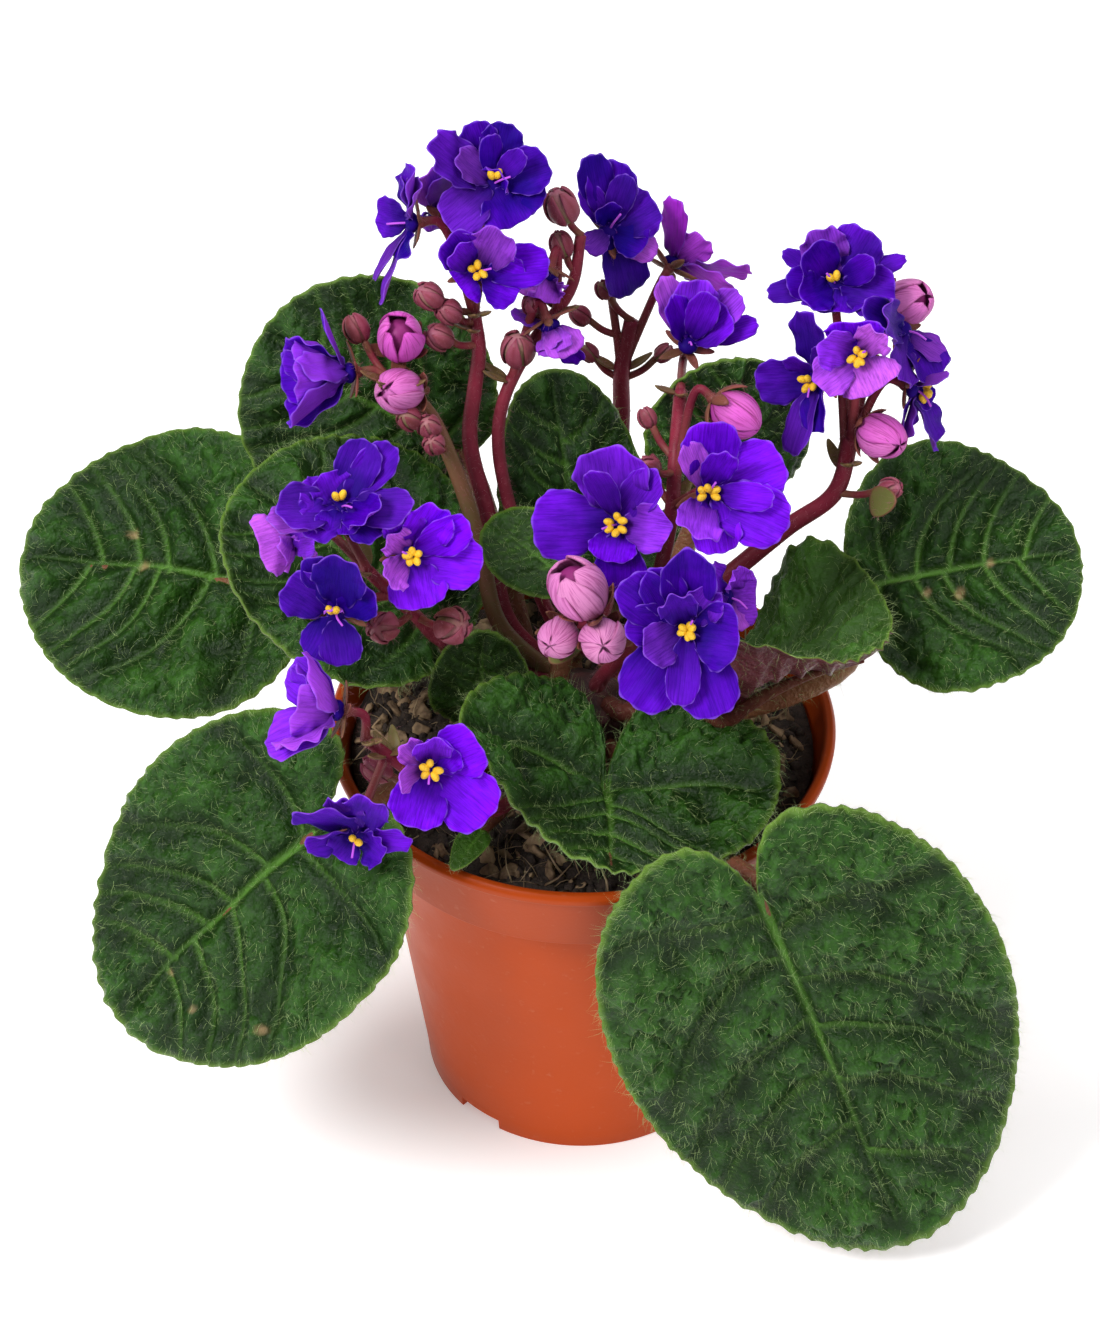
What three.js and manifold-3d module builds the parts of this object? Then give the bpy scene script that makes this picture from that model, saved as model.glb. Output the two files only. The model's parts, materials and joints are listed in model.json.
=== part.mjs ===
// A potted african violet: a plastic nursery pot filled with peat, and a plant whose leaves and branching
// flower stalks all leave one short crown. Millimetres, +Z up. The plant is laid out about the pot's axis,
// with the floor at z = 0, and the whole group is moved at the end so that the middle of its base is the
// origin.
import * as THREE from 'three';
import { mergeVertices } from 'three/addons/utils/BufferGeometryUtils.js';
import Module from 'manifold-3d';

const wasm = await Module();
wasm.setup();

// ---- driving dimensions -------------------------------------------------------------------------------
const RIM_RADIUS = 55;
const POT_HEIGHT = 98;
const WALL = 1.2;
const LIP_WIDTH = 2.6;
const LIP_HEIGHT = 2.6;
const COLLAR_HEIGHT = 18;
const COLLAR_FOOT_RADIUS = 50.5;
const BODY_TOP_RADIUS = 45.5;
const FOOT_RADIUS = 35;
const FOOT_RING_WIDTH = 3.5;
const FOOT_RING_HEIGHT = 3;
const NOTCH_COUNT = 4;
const NOTCH_WIDTH = 11;
const NOTCH_ANGLE = 229.5;
const DRAIN_COUNT = 6;
const DRAIN_RADIUS = 4;
const DRAIN_CIRCLE = 21;
const SOIL_EDGE = 90;
const SOIL_MOUND = 4;
const CROWN_RADIUS = 9;
const CROWN_FOOT = 82;
const CROWN_TOP = 110;
const GAP = 0.3;
const BLADE_THICKNESS = 1.2;
const LEAF_STALK_RADIUS = 2.3;
const NOTCH_SPREAD = 0.1;
const NOTCH_DEPTH = 0.9;
const PETAL_THICKNESS = 1.2;
const FLOWER_BACK = 4;
const BRANCH_RADIUS = 1;

// ---- colours and finishes -----------------------------------------------------------------------------
function finish(color, roughness) {
  return new THREE.MeshStandardMaterial({ color, roughness, metalness: 0 });
}
const TERRACOTTA = finish(0xb9532f, 0.45);
const PEAT = finish(0x241a14, 0.95);
const CROWN = finish(0x5c3a2a, 0.8);
const LEAF = finish(0x2c4a24, 0.75);
const STALK = finish(0x6e2a30, 0.6);
const VIOLET = finish(0x4412c8, 0.6);
const LILAC = finish(0xb65fe0, 0.6);
const BUD = finish(0xcf8fc4, 0.6);

// ---- solids -------------------------------------------------------------------------------------------
function solidOf(geometry) {
  const bare = geometry.clone();
  bare.deleteAttribute('normal');
  bare.deleteAttribute('uv');
  const merged = mergeVertices(bare, 1e-4);
  return new wasm.Manifold(new wasm.Mesh({
    numProp: 3,
    vertProperties: new Float32Array(merged.attributes.position.array),
    triVerts: new Uint32Array(merged.index.array),
  }));
}

function geometryOf(solid) {
  const mesh = solid.getMesh();
  const geometry = new THREE.BufferGeometry();
  geometry.setAttribute('position', new THREE.BufferAttribute(new Float32Array(mesh.vertProperties), 3));
  geometry.setIndex(new THREE.BufferAttribute(new Uint32Array(mesh.triVerts), 1));
  geometry.computeVertexNormals();
  return geometry;
}

function revolved(profile, segments) {
  const points = profile.map(([radius, height]) => new THREE.Vector2(radius, height));
  const geometry = new THREE.LatheGeometry(points, segments);
  geometry.rotateX(Math.PI / 2);
  return solidOf(geometry);
}

function largestPart(solid) {
  const parts = solid.decompose();
  return parts.reduce((best, part) => (part.volume() > best.volume() ? part : best));
}

// A round section swept along a smooth curve through the points, with flat closed ends.
function tube(points, radius, sides, steps) {
  const section = new THREE.Shape();
  for (let i = 0; i < sides; i += 1) {
    const turn = (i / sides) * 2 * Math.PI;
    const x = radius * Math.cos(turn);
    const y = radius * Math.sin(turn);
    if (i === 0) section.moveTo(x, y);
    else section.lineTo(x, y);
  }
  const path = new THREE.CatmullRomCurve3(points, false, 'centripetal');
  return solidOf(new THREE.ExtrudeGeometry(section, { steps, bevelEnabled: false, extrudePath: path }));
}

// A thin closed sheet over a disc: place(reach, turn, side) gives a point of its upper or lower face, where
// reach runs from 0 in the middle to 1 at the rim, and side is +1 or -1.
function sheet(place, rings, sectors) {
  const positions = [];
  const index = [];
  for (const side of [1, -1]) {
    positions.push(...place(0, 0, side).toArray());
    for (let ring = 1; ring <= rings; ring += 1) {
      for (let sector = 0; sector < sectors; sector += 1) {
        positions.push(...place(ring / rings, (sector / sectors) * 2 * Math.PI, side).toArray());
      }
    }
  }
  const half = 1 + rings * sectors;
  const at = (face, ring, sector) => face * half + 1 + (ring - 1) * sectors + (sector % sectors);
  for (let sector = 0; sector < sectors; sector += 1) {
    index.push(0, at(0, 1, sector), at(0, 1, sector + 1));
    index.push(half, at(1, 1, sector + 1), at(1, 1, sector));
    for (let ring = 1; ring < rings; ring += 1) {
      const [a, b] = [at(0, ring, sector), at(0, ring, sector + 1)];
      const [c, d] = [at(0, ring + 1, sector), at(0, ring + 1, sector + 1)];
      index.push(a, c, d, a, d, b);
      const [e, f] = [at(1, ring, sector), at(1, ring, sector + 1)];
      const [g, h] = [at(1, ring + 1, sector), at(1, ring + 1, sector + 1)];
      index.push(e, h, g, e, f, h);
    }
    const [top, topNext] = [at(0, rings, sector), at(0, rings, sector + 1)];
    const [low, lowNext] = [at(1, rings, sector), at(1, rings, sector + 1)];
    index.push(top, low, lowNext, top, lowNext, topNext);
  }
  const geometry = new THREE.BufferGeometry();
  geometry.setAttribute('position', new THREE.BufferAttribute(new Float32Array(positions), 3));
  geometry.setIndex(index);
  return solidOf(geometry);
}

// ---- directions ---------------------------------------------------------------------------------------
const vector = ([x, y, z]) => new THREE.Vector3(x, y, z);

// The way a leaf or a flower looks: turn 0 is towards the front, positive to the right, and rise is upwards.
function facing(turn, rise) {
  const [a, e] = [THREE.MathUtils.degToRad(turn), THREE.MathUtils.degToRad(rise)];
  return new THREE.Vector3(Math.cos(e) * Math.sin(a), -Math.cos(e) * Math.cos(a), Math.sin(e));
}

// ---- pot and soil -------------------------------------------------------------------------------------
const COLLAR_BASE = POT_HEIGHT - COLLAR_HEIGHT;
const LIP_BASE = POT_HEIGHT - LIP_HEIGHT;
const PLATE_TOP = FOOT_RING_HEIGHT + WALL;

function makePot() {
  const lipNeck = RIM_RADIUS - LIP_WIDTH + WALL;
  let pot = revolved([
    [0, FOOT_RING_HEIGHT],
    [FOOT_RADIUS - FOOT_RING_WIDTH, FOOT_RING_HEIGHT],
    [FOOT_RADIUS - FOOT_RING_WIDTH, 0],
    [FOOT_RADIUS, 0],
    [FOOT_RADIUS + 0.5, PLATE_TOP + 1],
    [BODY_TOP_RADIUS, COLLAR_BASE],
    [COLLAR_FOOT_RADIUS, COLLAR_BASE],
    [lipNeck, LIP_BASE],
    [RIM_RADIUS - 0.2, LIP_BASE],
    [RIM_RADIUS, POT_HEIGHT - 1],
    [RIM_RADIUS - 0.8, POT_HEIGHT],
    [RIM_RADIUS - LIP_WIDTH + 0.6, POT_HEIGHT],
    [RIM_RADIUS - LIP_WIDTH, POT_HEIGHT - 0.8],
    [COLLAR_FOOT_RADIUS - WALL, COLLAR_BASE + WALL],
    [BODY_TOP_RADIUS - WALL, COLLAR_BASE + WALL],
    [FOOT_RADIUS - WALL + 0.5, PLATE_TOP + 1],
    [FOOT_RADIUS - WALL - 0.5, PLATE_TOP],
    [0, PLATE_TOP],
  ], 36);
  for (let i = 0; i < NOTCH_COUNT; i += 1) {
    const notch = new THREE.BoxGeometry(FOOT_RING_WIDTH * 3, NOTCH_WIDTH, FOOT_RING_HEIGHT * 2);
    notch.translate(FOOT_RADIUS - FOOT_RING_WIDTH / 2, 0, 0);
    notch.rotateZ(THREE.MathUtils.degToRad(NOTCH_ANGLE + (i * 360) / NOTCH_COUNT));
    pot = pot.subtract(solidOf(notch));
  }
  for (let i = 0; i < DRAIN_COUNT; i += 1) {
    const hole = new THREE.CylinderGeometry(DRAIN_RADIUS, DRAIN_RADIUS, WALL * 4, 12);
    hole.rotateX(Math.PI / 2);
    const turn = (i / DRAIN_COUNT) * 2 * Math.PI;
    hole.translate(DRAIN_CIRCLE * Math.cos(turn), DRAIN_CIRCLE * Math.sin(turn), FOOT_RING_HEIGHT);
    pot = pot.subtract(solidOf(hole));
  }
  return pot;
}

function makeSoil(extra) {
  const slope = (RIM_RADIUS - LIP_WIDTH - COLLAR_FOOT_RADIUS + WALL) / (COLLAR_HEIGHT - WALL);
  const edge = COLLAR_FOOT_RADIUS - WALL + slope * (SOIL_EDGE - COLLAR_BASE - WALL) - 2 * GAP;
  return revolved([
    [0, PLATE_TOP + GAP],
    [FOOT_RADIUS - WALL - 1, PLATE_TOP + GAP],
    [FOOT_RADIUS - WALL, PLATE_TOP + 1 + GAP],
    [BODY_TOP_RADIUS - WALL - 2 * GAP, COLLAR_BASE + WALL + GAP],
    [COLLAR_FOOT_RADIUS - WALL - 2 * GAP, COLLAR_BASE + WALL + GAP],
    [edge, SOIL_EDGE + extra],
    [edge * 0.8, SOIL_EDGE + SOIL_MOUND * 0.3 + extra],
    [edge * 0.5, SOIL_EDGE + SOIL_MOUND * 0.8 + extra],
    [0, SOIL_EDGE + SOIL_MOUND + extra],
  ], 24);
}

function makeCrown(extra) {
  const radius = CROWN_RADIUS + extra;
  return revolved([
    [0, CROWN_FOOT - extra],
    [radius * 0.6, CROWN_FOOT - extra],
    [radius * 0.85, CROWN_FOOT + 8],
    [radius, CROWN_TOP - 14],
    [radius * 0.95, CROWN_TOP - 5],
    [radius * 0.6, CROWN_TOP - 1 + extra],
    [0, CROWN_TOP + extra],
  ], 16);
}

// Where a stalk leaves the crown: just outside its skin, at a compass angle and a height.
function rootPoint(angle, height, distance = 0) {
  const turn = THREE.MathUtils.degToRad(angle);
  const shoulder = height > CROWN_TOP - 5 ? 0.55 : 1;
  const reach = CROWN_RADIUS * shoulder + distance + 1;
  return new THREE.Vector3(reach * Math.cos(turn), reach * Math.sin(turn), height);
}

// ---- leaves -------------------------------------------------------------------------------------------
// joint and tip are the ends of the midrib, look is the way the upper face looks, root is the angle and the
// height at which the leaf's stalk leaves the crown, and via is a point that the stalk passes through.
// lobe (how far the blade reaches behind its joint), cup (raised edges), arch (a bow along the midrib),
// taper (broader towards the joint when negative), lift (raised lobes) and twist (one edge up, the other
// down, growing towards the tip) are shares of the blade's size. stalk is the radius of an unusual stalk.
const LEAVES = {
  large_front_leaf: {
    joint: [37, -60, 103], tip: [71, -70, 9], width: 86, look: [4, 11], root: [-57, 98],
    via: [26, -42, 100.6], lobe: 0.23, cup: -0.12, arch: -0.02, taper: -0.07,
  },
  lower_left_leaf: {
    joint: [-57, -45, 106], tip: [-99, -51, 58], width: 69, look: [-21, 46], root: [218, 98],
    via: [-40, -31, 106], lobe: 0.36, cup: 0, arch: 0.02, taper: -0.09,
  },
  far_left_leaf: {
    joint: [-69, 21, 118], tip: [-124, 37, 112], width: 65, look: [-15, 55], root: [164, 98],
    via: [-40, 11, 108], lobe: 0.23, cup: 0.04, arch: 0.03, taper: -0.1,
  },
  middle_left_leaf: {
    joint: [-32, -4, 126], tip: [-72, 19, 150], width: 60, look: [-8, 83], root: [188, 104],
    via: [-21, -4, 113], lobe: 0.13, cup: 0.08, arch: 0.06, taper: 0,
  },
  back_left_leaf: {
    joint: [-29, 35, 146], tip: [-69, 44, 170], width: 59, look: [-18, 23], root: [131, 100],
    via: [-17, 22, 122], lobe: 0.15, cup: 0.04, arch: 0.04, taper: 0.06,
  },
  front_centre_leaf: {
    joint: [5, -32, 109], tip: [7, -60, 111], width: 70, look: [-70, 108], root: [-79, 100],
    via: [3, -20, 101], lobe: 0.75, cup: 0.3, arch: -0.03, taper: -0.08, lift: 0.45, twist: -0.12,
  },
  right_leaf: {
    joint: [62, 13, 126], tip: [107, 21, 129], width: 59, look: [10, 66], root: [-14, 100],
    via: [56, 1, 114], lobe: 0.12, cup: 0.07, arch: 0.04, taper: -0.13, stalk: 2.8,
  },
  middle_right_leaf: {
    joint: [30, -17, 119], tip: [63, -24, 140], width: 61, look: [9, 110], root: [-33, 106],
    via: [20, -7, 113], lobe: 0.07, cup: 0.56, arch: 0.06, taper: -0.05,
  },
  back_centre_leaf: {
    joint: [-3, 11, 128], tip: [-7, 38, 165], width: 35, look: [29, 13], root: [100, 102],
    via: [-2, 11, 115], lobe: 0.05, cup: 0.06, arch: 0.06, taper: -0.08,
  },
  back_right_leaf: {
    joint: [27, 20, 144], tip: [36, 30, 174], width: 39, look: [29, 30], root: [38, 100],
    via: [17, 13, 120], lobe: 0.07, cup: -0.1, arch: 0.01, taper: 0.03,
  },
  rear_leaf: {
    joint: [3, 34, 107], tip: [6, 71, 99], width: 42, look: [180, 82], root: [62, 99],
    via: [5, 22, 104], lobe: 0.15, cup: 0.06, arch: 0.08, taper: -0.05,
  },
  small_centre_leaf: {
    joint: [-3, -12, 148], tip: [-20, 3, 152], width: 18, look: [3, 55], root: [240, 110],
    via: [-4, -7, 126], lobe: 0.08, cup: 0.02, arch: 0.04, taper: 0,
  },
  cupped_young_leaf: {
    joint: [-21, -8, 106], tip: [-21, -12, 135], width: 23, look: [-5, 10], root: [-128, 102],
    via: [-13, -8, 101], lobe: 0.13, cup: 0.16, arch: 0.02, taper: -0.15,
  },
  tiny_front_leaf: {
    joint: [-21, -39, 102], tip: [-27, -49, 101], width: 7, look: [0, 75], root: [-112, 98],
    via: [-15, -28, 99], lobe: 0.05, cup: 0.1, arch: 0.05, taper: 0, stalk: 1.1,
  },
};

function bladeFrame(leaf) {
  const joint = vector(leaf.joint);
  const along = vector(leaf.tip).sub(joint);
  const length = along.length();
  along.normalize();
  const up = facing(...leaf.look);
  up.addScaledVector(along, -up.dot(along)).normalize();
  const across = new THREE.Vector3().crossVectors(up, along);
  return { joint, along, up, across, length };
}

function bladePoint(leaf, frame, x, y, lift) {
  const half = leaf.width / 2;
  const share = THREE.MathUtils.clamp(x / frame.length, 0, 1);
  let height = leaf.arch * frame.length * 4 * share * (1 - share) + leaf.cup * half * (y / half) ** 2;
  height += (leaf.lift ?? 0) * Math.max(0, -x) + ((leaf.twist ?? 0) * x * y) / half + lift;
  return frame.joint.clone().addScaledVector(frame.along, x).addScaledVector(frame.across, y)
    .addScaledVector(frame.up, height);
}

function makeBlade(leaf, extra) {
  const frame = bladeFrame(leaf);
  const back = leaf.lobe * frame.length;
  const middle = (frame.length - back) / 2;
  const halfLength = (frame.length + back) / 2;
  const grow = 1 + extra / (leaf.width / 2);
  return sheet((reach, turn, side) => {
    const notch = Math.exp(-Math.abs(turn - Math.PI) / NOTCH_SPREAD) * back * NOTCH_DEPTH;
    const x = halfLength * Math.cos(turn) + notch;
    const y = (leaf.width / 2) * Math.sin(turn) * (1 + leaf.taper * Math.cos(turn));
    const lift = side * (BLADE_THICKNESS / 2 + extra);
    return bladePoint(leaf, frame, middle + x * reach * grow, y * reach * grow, lift);
  }, 3, leaf.width > 20 ? 20 : 10);
}

function makeLeaf(leaf, extra) {
  const frame = bladeFrame(leaf);
  const start = rootPoint(...leaf.root);
  const out = rootPoint(...leaf.root, 5);
  const radius = leaf.stalk ?? LEAF_STALK_RADIUS;
  const under = -(radius - BLADE_THICKNESS / 2);
  const reach = Math.min(8, frame.length * 0.2);
  const end = bladePoint(leaf, frame, reach, 0, under);
  const before = bladePoint(leaf, frame, -2, 0, under);
  const stalk = tube([start, out, vector(leaf.via), before, end], radius + extra, 6, 7);
  return makeBlade(leaf, extra).add(stalk);
}

// ---- flowers and buds ---------------------------------------------------------------------------------
// throat is the middle of the flower, look the way it faces, radius its petals' reach, and cup how steeply
// the petals rise. stem names the flower stalk, and from is the place on that stalk where its own stalklet
// leaves, counted from 0 at the crown to 1 at the top.
const FLOWERS = {
  top_left_flower: {
    throat: [-19, 30, 219], look: [25, 50],
    radius: 15, cup: 0.5, stem: 'a', from: 1,
  },
  side_left_flower: {
    throat: [-36, 22, 215], look: [-80, 5],
    radius: 14, cup: 0.4, stem: 'a', from: 1,
  },
  rear_left_flower: {
    throat: [-31, 34, 210], look: [-140, 30],
    radius: 12, cup: 0.5, stem: 'a', from: 0.93,
  },
  upper_left_cup_flower: {
    throat: [-22, 19, 205], look: [5, 35],
    radius: 13, cup: 0.6, stem: 'a', from: 1,
  },
  nodding_flower: {
    throat: [-8, 29, 196], look: [-30, -50],
    radius: 8, cup: 0.9, stem: 'k', from: 0.8,
  },
  spent_flower: {
    throat: [-7, 22, 188], look: [40, -50],
    radius: 8, cup: 0.9, stem: 'k', from: 0.62,
  },
  left_bell_flower: {
    throat: [-49, 8, 187], look: [-75, 5],
    radius: 13, cup: 1, stem: 'b', from: 1,
  },
  top_centre_flower: {
    throat: [5, 50, 193], look: [15, 60],
    radius: 14, cup: 0.9, stem: 'c', from: 0.75,
  },
  rear_centre_flower: {
    throat: [19, 58, 179], look: [150, 20],
    radius: 14, cup: 0.5, stem: 'c', from: 0.75,
  },
  upward_centre_flower: {
    throat: [22, 38, 172], look: [20, 65],
    radius: 13, cup: 1, stem: 'h', from: 1,
  },
  top_right_flower: {
    throat: [52, 30, 194], look: [0, 45],
    radius: 15, cup: 0.4, stem: 'd', from: 1,
  },
  left_right_group_flower: {
    throat: [48, 16, 180], look: [-45, 5],
    radius: 13, cup: 0.3, stem: 'd', from: 0.9,
  },
  pink_cup_flower: {
    throat: [56, 10, 191], look: [-10, 25],
    radius: 10, cup: 1, stem: 'd', from: 1,
  },
  right_upper_flower: {
    throat: [67, 26, 185], look: [60, 30],
    radius: 11, cup: 0.7, stem: 'd', from: 1,
  },
  right_hanging_flower: {
    throat: [69, 18, 176], look: [75, -10],
    radius: 13, cup: 0.3, stem: 'd', from: 0.95,
  },
  left_spread_flower: {
    throat: [-49, -23, 177], look: [10, 60],
    radius: 16, cup: 0.3, stem: 'e', from: 1,
  },
  left_open_flower: {
    throat: [-35, -28, 169], look: [10, 25],
    radius: 13, cup: 0.5, stem: 'e', from: 0.85,
  },
  left_dark_flower: {
    throat: [-50, -36, 160], look: [-10, 25],
    radius: 14, cup: 0.3, stem: 'e', from: 0.9,
  },
  left_pink_flower: {
    throat: [-60, -16, 163], look: [-70, -10],
    radius: 11, cup: 0.9, stem: 'e', from: 1,
  },
  low_side_flower: {
    throat: [-50, -52, 148], look: [-80, 20],
    radius: 12, cup: 1, stem: 'f', from: 1,
  },
  low_open_flower: {
    throat: [-31, -57, 137], look: [10, 30],
    radius: 13, cup: 0.5, stem: 'f', from: 0.85,
  },
  low_nodding_flower: {
    throat: [-46, -60, 121], look: [-10, -5],
    radius: 12, cup: 0.7, stem: 'f', from: 0.9,
  },
  centre_left_flower: {
    throat: [7, -17, 168], look: [-15, 35],
    radius: 15, cup: 0.4, stem: 'h', from: 0.5,
  },
  centre_right_flower: {
    throat: [25, -14, 174], look: [10, 35],
    radius: 15, cup: 0.4, stem: 'h', from: 0.55,
  },
  double_centre_flower: {
    throat: [21, -39, 159], look: [0, 30],
    radius: 17, cup: 0.3, stem: 'g', from: 1,
  },
  rear_petal_flower: {
    throat: [30, -20, 151], look: [70, 20],
    radius: 10, cup: 0.6, stem: 'g', from: 0.9,
  },
};

const BUDS = {
  opening_centre_bud: { throat: [-1, -32, 163], look: [-20, 40], radius: 6.5, stem: 'g', from: 0.95 },
  round_centre_bud: { throat: [-5, -33, 151], look: [-20, 20], radius: 4.4, stem: 'g', from: 0.9 },
  striped_centre_bud: { throat: [4, -36, 153], look: [0, 30], radius: 5, stem: 'g', from: 0.95 },
  opening_left_bud: { throat: [-38, 12, 193], look: [0, 60], radius: 5.5, stem: 'b', from: 0.95 },
  lower_left_bud: { throat: [-38, 6, 184], look: [-40, 30], radius: 5, stem: 'b', from: 0.9 },
  upper_right_bud: { throat: [67, 34, 186], look: [60, 40], radius: 5.5, stem: 'd', from: 1 },
  lower_right_bud: { throat: [62, 12, 168], look: [40, 10], radius: 5, stem: 'd', from: 0.85 },
  hooked_bud: { throat: [31, 4, 180], look: [60, -20], radius: 5, stem: 'h', from: 0.6 },
};

function lookFrame(item) {
  const out = facing(...item.look);
  const side = new THREE.Vector3(0, 0, 1).cross(out).normalize();
  return { out, side, up: new THREE.Vector3().crossVectors(out, side), throat: vector(item.throat) };
}

// The flower's five petals as one shallow lobed dish.
function makeFlower(flower, extra) {
  const { out, side, up, throat } = lookFrame(flower);
  const narrow = 1 / Math.hypot(1, flower.cup);
  return sheet((reach, turn, face) => {
    const lobes = 0.86 + 0.14 * Math.cos(5 * turn + Math.PI / 2);
    const radius = (flower.radius + extra) * reach * lobes * narrow;
    const height = flower.cup * radius * (0.6 + 0.4 * reach) + face * (PETAL_THICKNESS / 2 + extra);
    return throat.clone().addScaledVector(side, radius * Math.cos(turn))
      .addScaledVector(up, radius * Math.sin(turn)).addScaledVector(out, height);
  }, 2, 15);
}

// A bud is an egg, a little longer than it is wide, pointing the way it looks.
function makeBud(bud, extra) {
  const egg = new THREE.SphereGeometry(bud.radius + extra, 8, 6);
  egg.scale(0.9, 1.15, 0.9);
  const { out, throat } = lookFrame(bud);
  egg.applyQuaternion(new THREE.Quaternion().setFromUnitVectors(new THREE.Vector3(0, 1, 0), out));
  egg.translate(throat.x, throat.y, throat.z);
  return solidOf(egg);
}

// ---- flower stalks ------------------------------------------------------------------------------------
// root is the angle and height at the crown, path the points that the stalk passes through, and buds the
// small closed buds that grow on it, each as its place and radius, at the end of a short stalklet.
const STALKS = {
  a: {
    name: 'upper_left_stalk', root: [165, 112], radius: 1.7,
    path: [[-16, 2, 125], [-20, 8, 148], [-24, 14, 165], [-23, 18, 175], [-22, 20, 184], [-23, 22, 192]],
    buds: [[-32, 17, 200, 3], [-28, 17, 196, 2.8], [-30, 15, 191, 3]],
  },
  b: {
    name: 'left_stalk', root: [200, 112], radius: 1.7,
    path: [[-18, -4, 130], [-22, 2, 147], [-28, 7, 166], [-33, 8, 178], [-40, 8, 185]],
    buds: [[-47, 15, 193, 2.8], [-36, 3, 179, 2.6], [-32, 3, 177, 2.6], [-31, 1, 174, 2.4]],
  },
  k: {
    name: 'inner_left_stalk', root: [120, 113], radius: 1.4,
    path: [
      [-9, 6, 128], [-14, 8, 144], [-18, 15, 161], [-17, 18, 172], [-11, 25, 182], [-3, 32, 191], [-1, 37, 201],
    ],
    buds: [[-14, 20, 184, 3.8], [-5, 36, 209, 3.8], [-5, 35, 200, 2.6], [-11, 26, 191, 2.2]],
  },
  c: {
    name: 'back_centre_stalk', root: [75, 112], radius: 2,
    path: [[6, 24, 122], [8, 46, 146], [8, 49, 156], [10, 51, 168]],
    buds: [[-1, 50, 170, 2.2], [1, 50, 160, 2], [17, 50, 160, 2], [4, 50, 177, 2]],
  },
  d: {
    name: 'right_stalk', root: [15, 112], radius: 2,
    path: [[22, 7, 124], [43, 14, 141], [53, 14, 151], [56, 16, 164]],
    buds: [[64, 8, 157, 2.5]],
  },
  e: {
    name: 'middle_left_stalk', root: [222, 112], radius: 1.6,
    path: [[-14, -5, 117], [-23, -5, 123], [-30, -10, 130], [-35, -17, 143], [-44, -23, 160]],
    buds: [[-27, -26, 148, 4], [-41, -29, 150, 3.5]],
  },
  f: {
    name: 'low_left_stalk', root: [-115, 108], radius: 1.5,
    path: [[-8, -20, 104], [-17, -35, 105], [-28, -46, 117], [-36, -52, 132], [-44, -51, 139]],
    buds: [[-42, -48, 128, 3]],
  },
  g: {
    name: 'centre_stalk', root: [-60, 113], radius: 1.6,
    path: [[5, -12, 123], [9, -20, 136], [11, -25, 146]],
    buds: [],
  },
  h: {
    name: 'tall_centre_stalk', root: [-5, 113], radius: 1.6,
    path: [[13, -3, 130], [18, -2, 156], [19, 6, 170], [20, 20, 173]],
    buds: [[13, -4, 172, 2.6], [14, 5, 165, 2.2], [13, 10, 174, 2]],
  },
};

function makeStalk(key, extra) {
  const stalk = STALKS[key];
  const start = rootPoint(...stalk.root);
  const points = [start, ...stalk.path.map(vector)];
  const curve = new THREE.CatmullRomCurve3(points, false, 'centripetal');
  let solid = tube(points, stalk.radius + extra, 6, points.length + 2);
  const heads = [...Object.values(FLOWERS), ...Object.values(BUDS)].filter((head) => head.stem === key);
  for (const head of heads) {
    const { out, throat } = lookFrame(head);
    const isBud = head.cup === undefined;
    const back = isBud ? head.radius * 1.15 + GAP : GAP + PETAL_THICKNESS;
    const end = throat.clone().addScaledVector(out, -back);
    const before = end.clone().addScaledVector(out, -FLOWER_BACK);
    const leave = curve.getPoint(head.from);
    solid = solid.add(tube([leave, before, end], BRANCH_RADIUS + extra, 4, 3));
  }
  for (const [x, y, z, radius] of stalk.buds) {
    const place = new THREE.Vector3(x, y, z);
    const nearest = curve.getPoints(20).reduce((best, point) => (
      Math.abs(point.z - z + 6) < Math.abs(best.z - z + 6) ? point : best));
    const egg = new THREE.SphereGeometry(radius + extra, 6, 4);
    egg.translate(x, y, z);
    solid = solid.add(tube([nearest, place], BRANCH_RADIUS * 0.8 + extra, 4, 1)).add(solidOf(egg));
  }
  return solid;
}

// ---- assembly -----------------------------------------------------------------------------------------
// Every piece gives way to those listed before it: it is cut back by a copy of each that is larger by the
// gap all round, so that neighbours never touch.
const PIECES = [
  { name: 'crown', material: CROWN, make: makeCrown },
  { name: 'soil', material: PEAT, make: makeSoil },
];
for (const key of Object.keys(STALKS)) {
  PIECES.push({ name: STALKS[key].name, material: STALK, make: (extra) => makeStalk(key, extra) });
}
for (const [name, leaf] of Object.entries(LEAVES)) {
  PIECES.push({ name, material: LEAF, make: (extra) => makeLeaf(leaf, extra) });
}
for (const [name, bud] of Object.entries(BUDS)) {
  PIECES.push({ name, material: BUD, make: (extra) => makeBud(bud, extra) });
}
for (const [name, flower] of Object.entries(FLOWERS)) {
  const pale = name === 'pink_cup_flower' || name === 'nodding_flower' || name === 'left_pink_flower';
  PIECES.push({ name, material: pale ? LILAC : VIOLET, make: (extra) => makeFlower(flower, extra) });
}

function boxesMeet(one, other) {
  const [a, b] = [one.boundingBox(), other.boundingBox()];
  return [0, 1, 2].every((axis) => a.min[axis] < b.max[axis] && b.min[axis] < a.max[axis]);
}

const plant = new THREE.Group();
const pot = makePot();
const placed = [];

function addMesh(name, solid, material) {
  const mesh = new THREE.Mesh(geometryOf(solid), material);
  mesh.name = name;
  plant.add(mesh);
}

addMesh('pot', pot, TERRACOTTA);
for (const piece of PIECES) {
  let solid = piece.make(0);
  for (const earlier of placed) {
    if (boxesMeet(solid, earlier)) solid = solid.subtract(earlier);
  }
  solid = largestPart(solid);
  addMesh(piece.name, solid, piece.material);
  placed.push(piece.make(GAP));
}

const box = new THREE.Box3().setFromObject(plant, true);
const centre = box.getCenter(new THREE.Vector3());
plant.position.set(-centre.x, -centre.y, -box.min.z);

export default plant;
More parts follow.
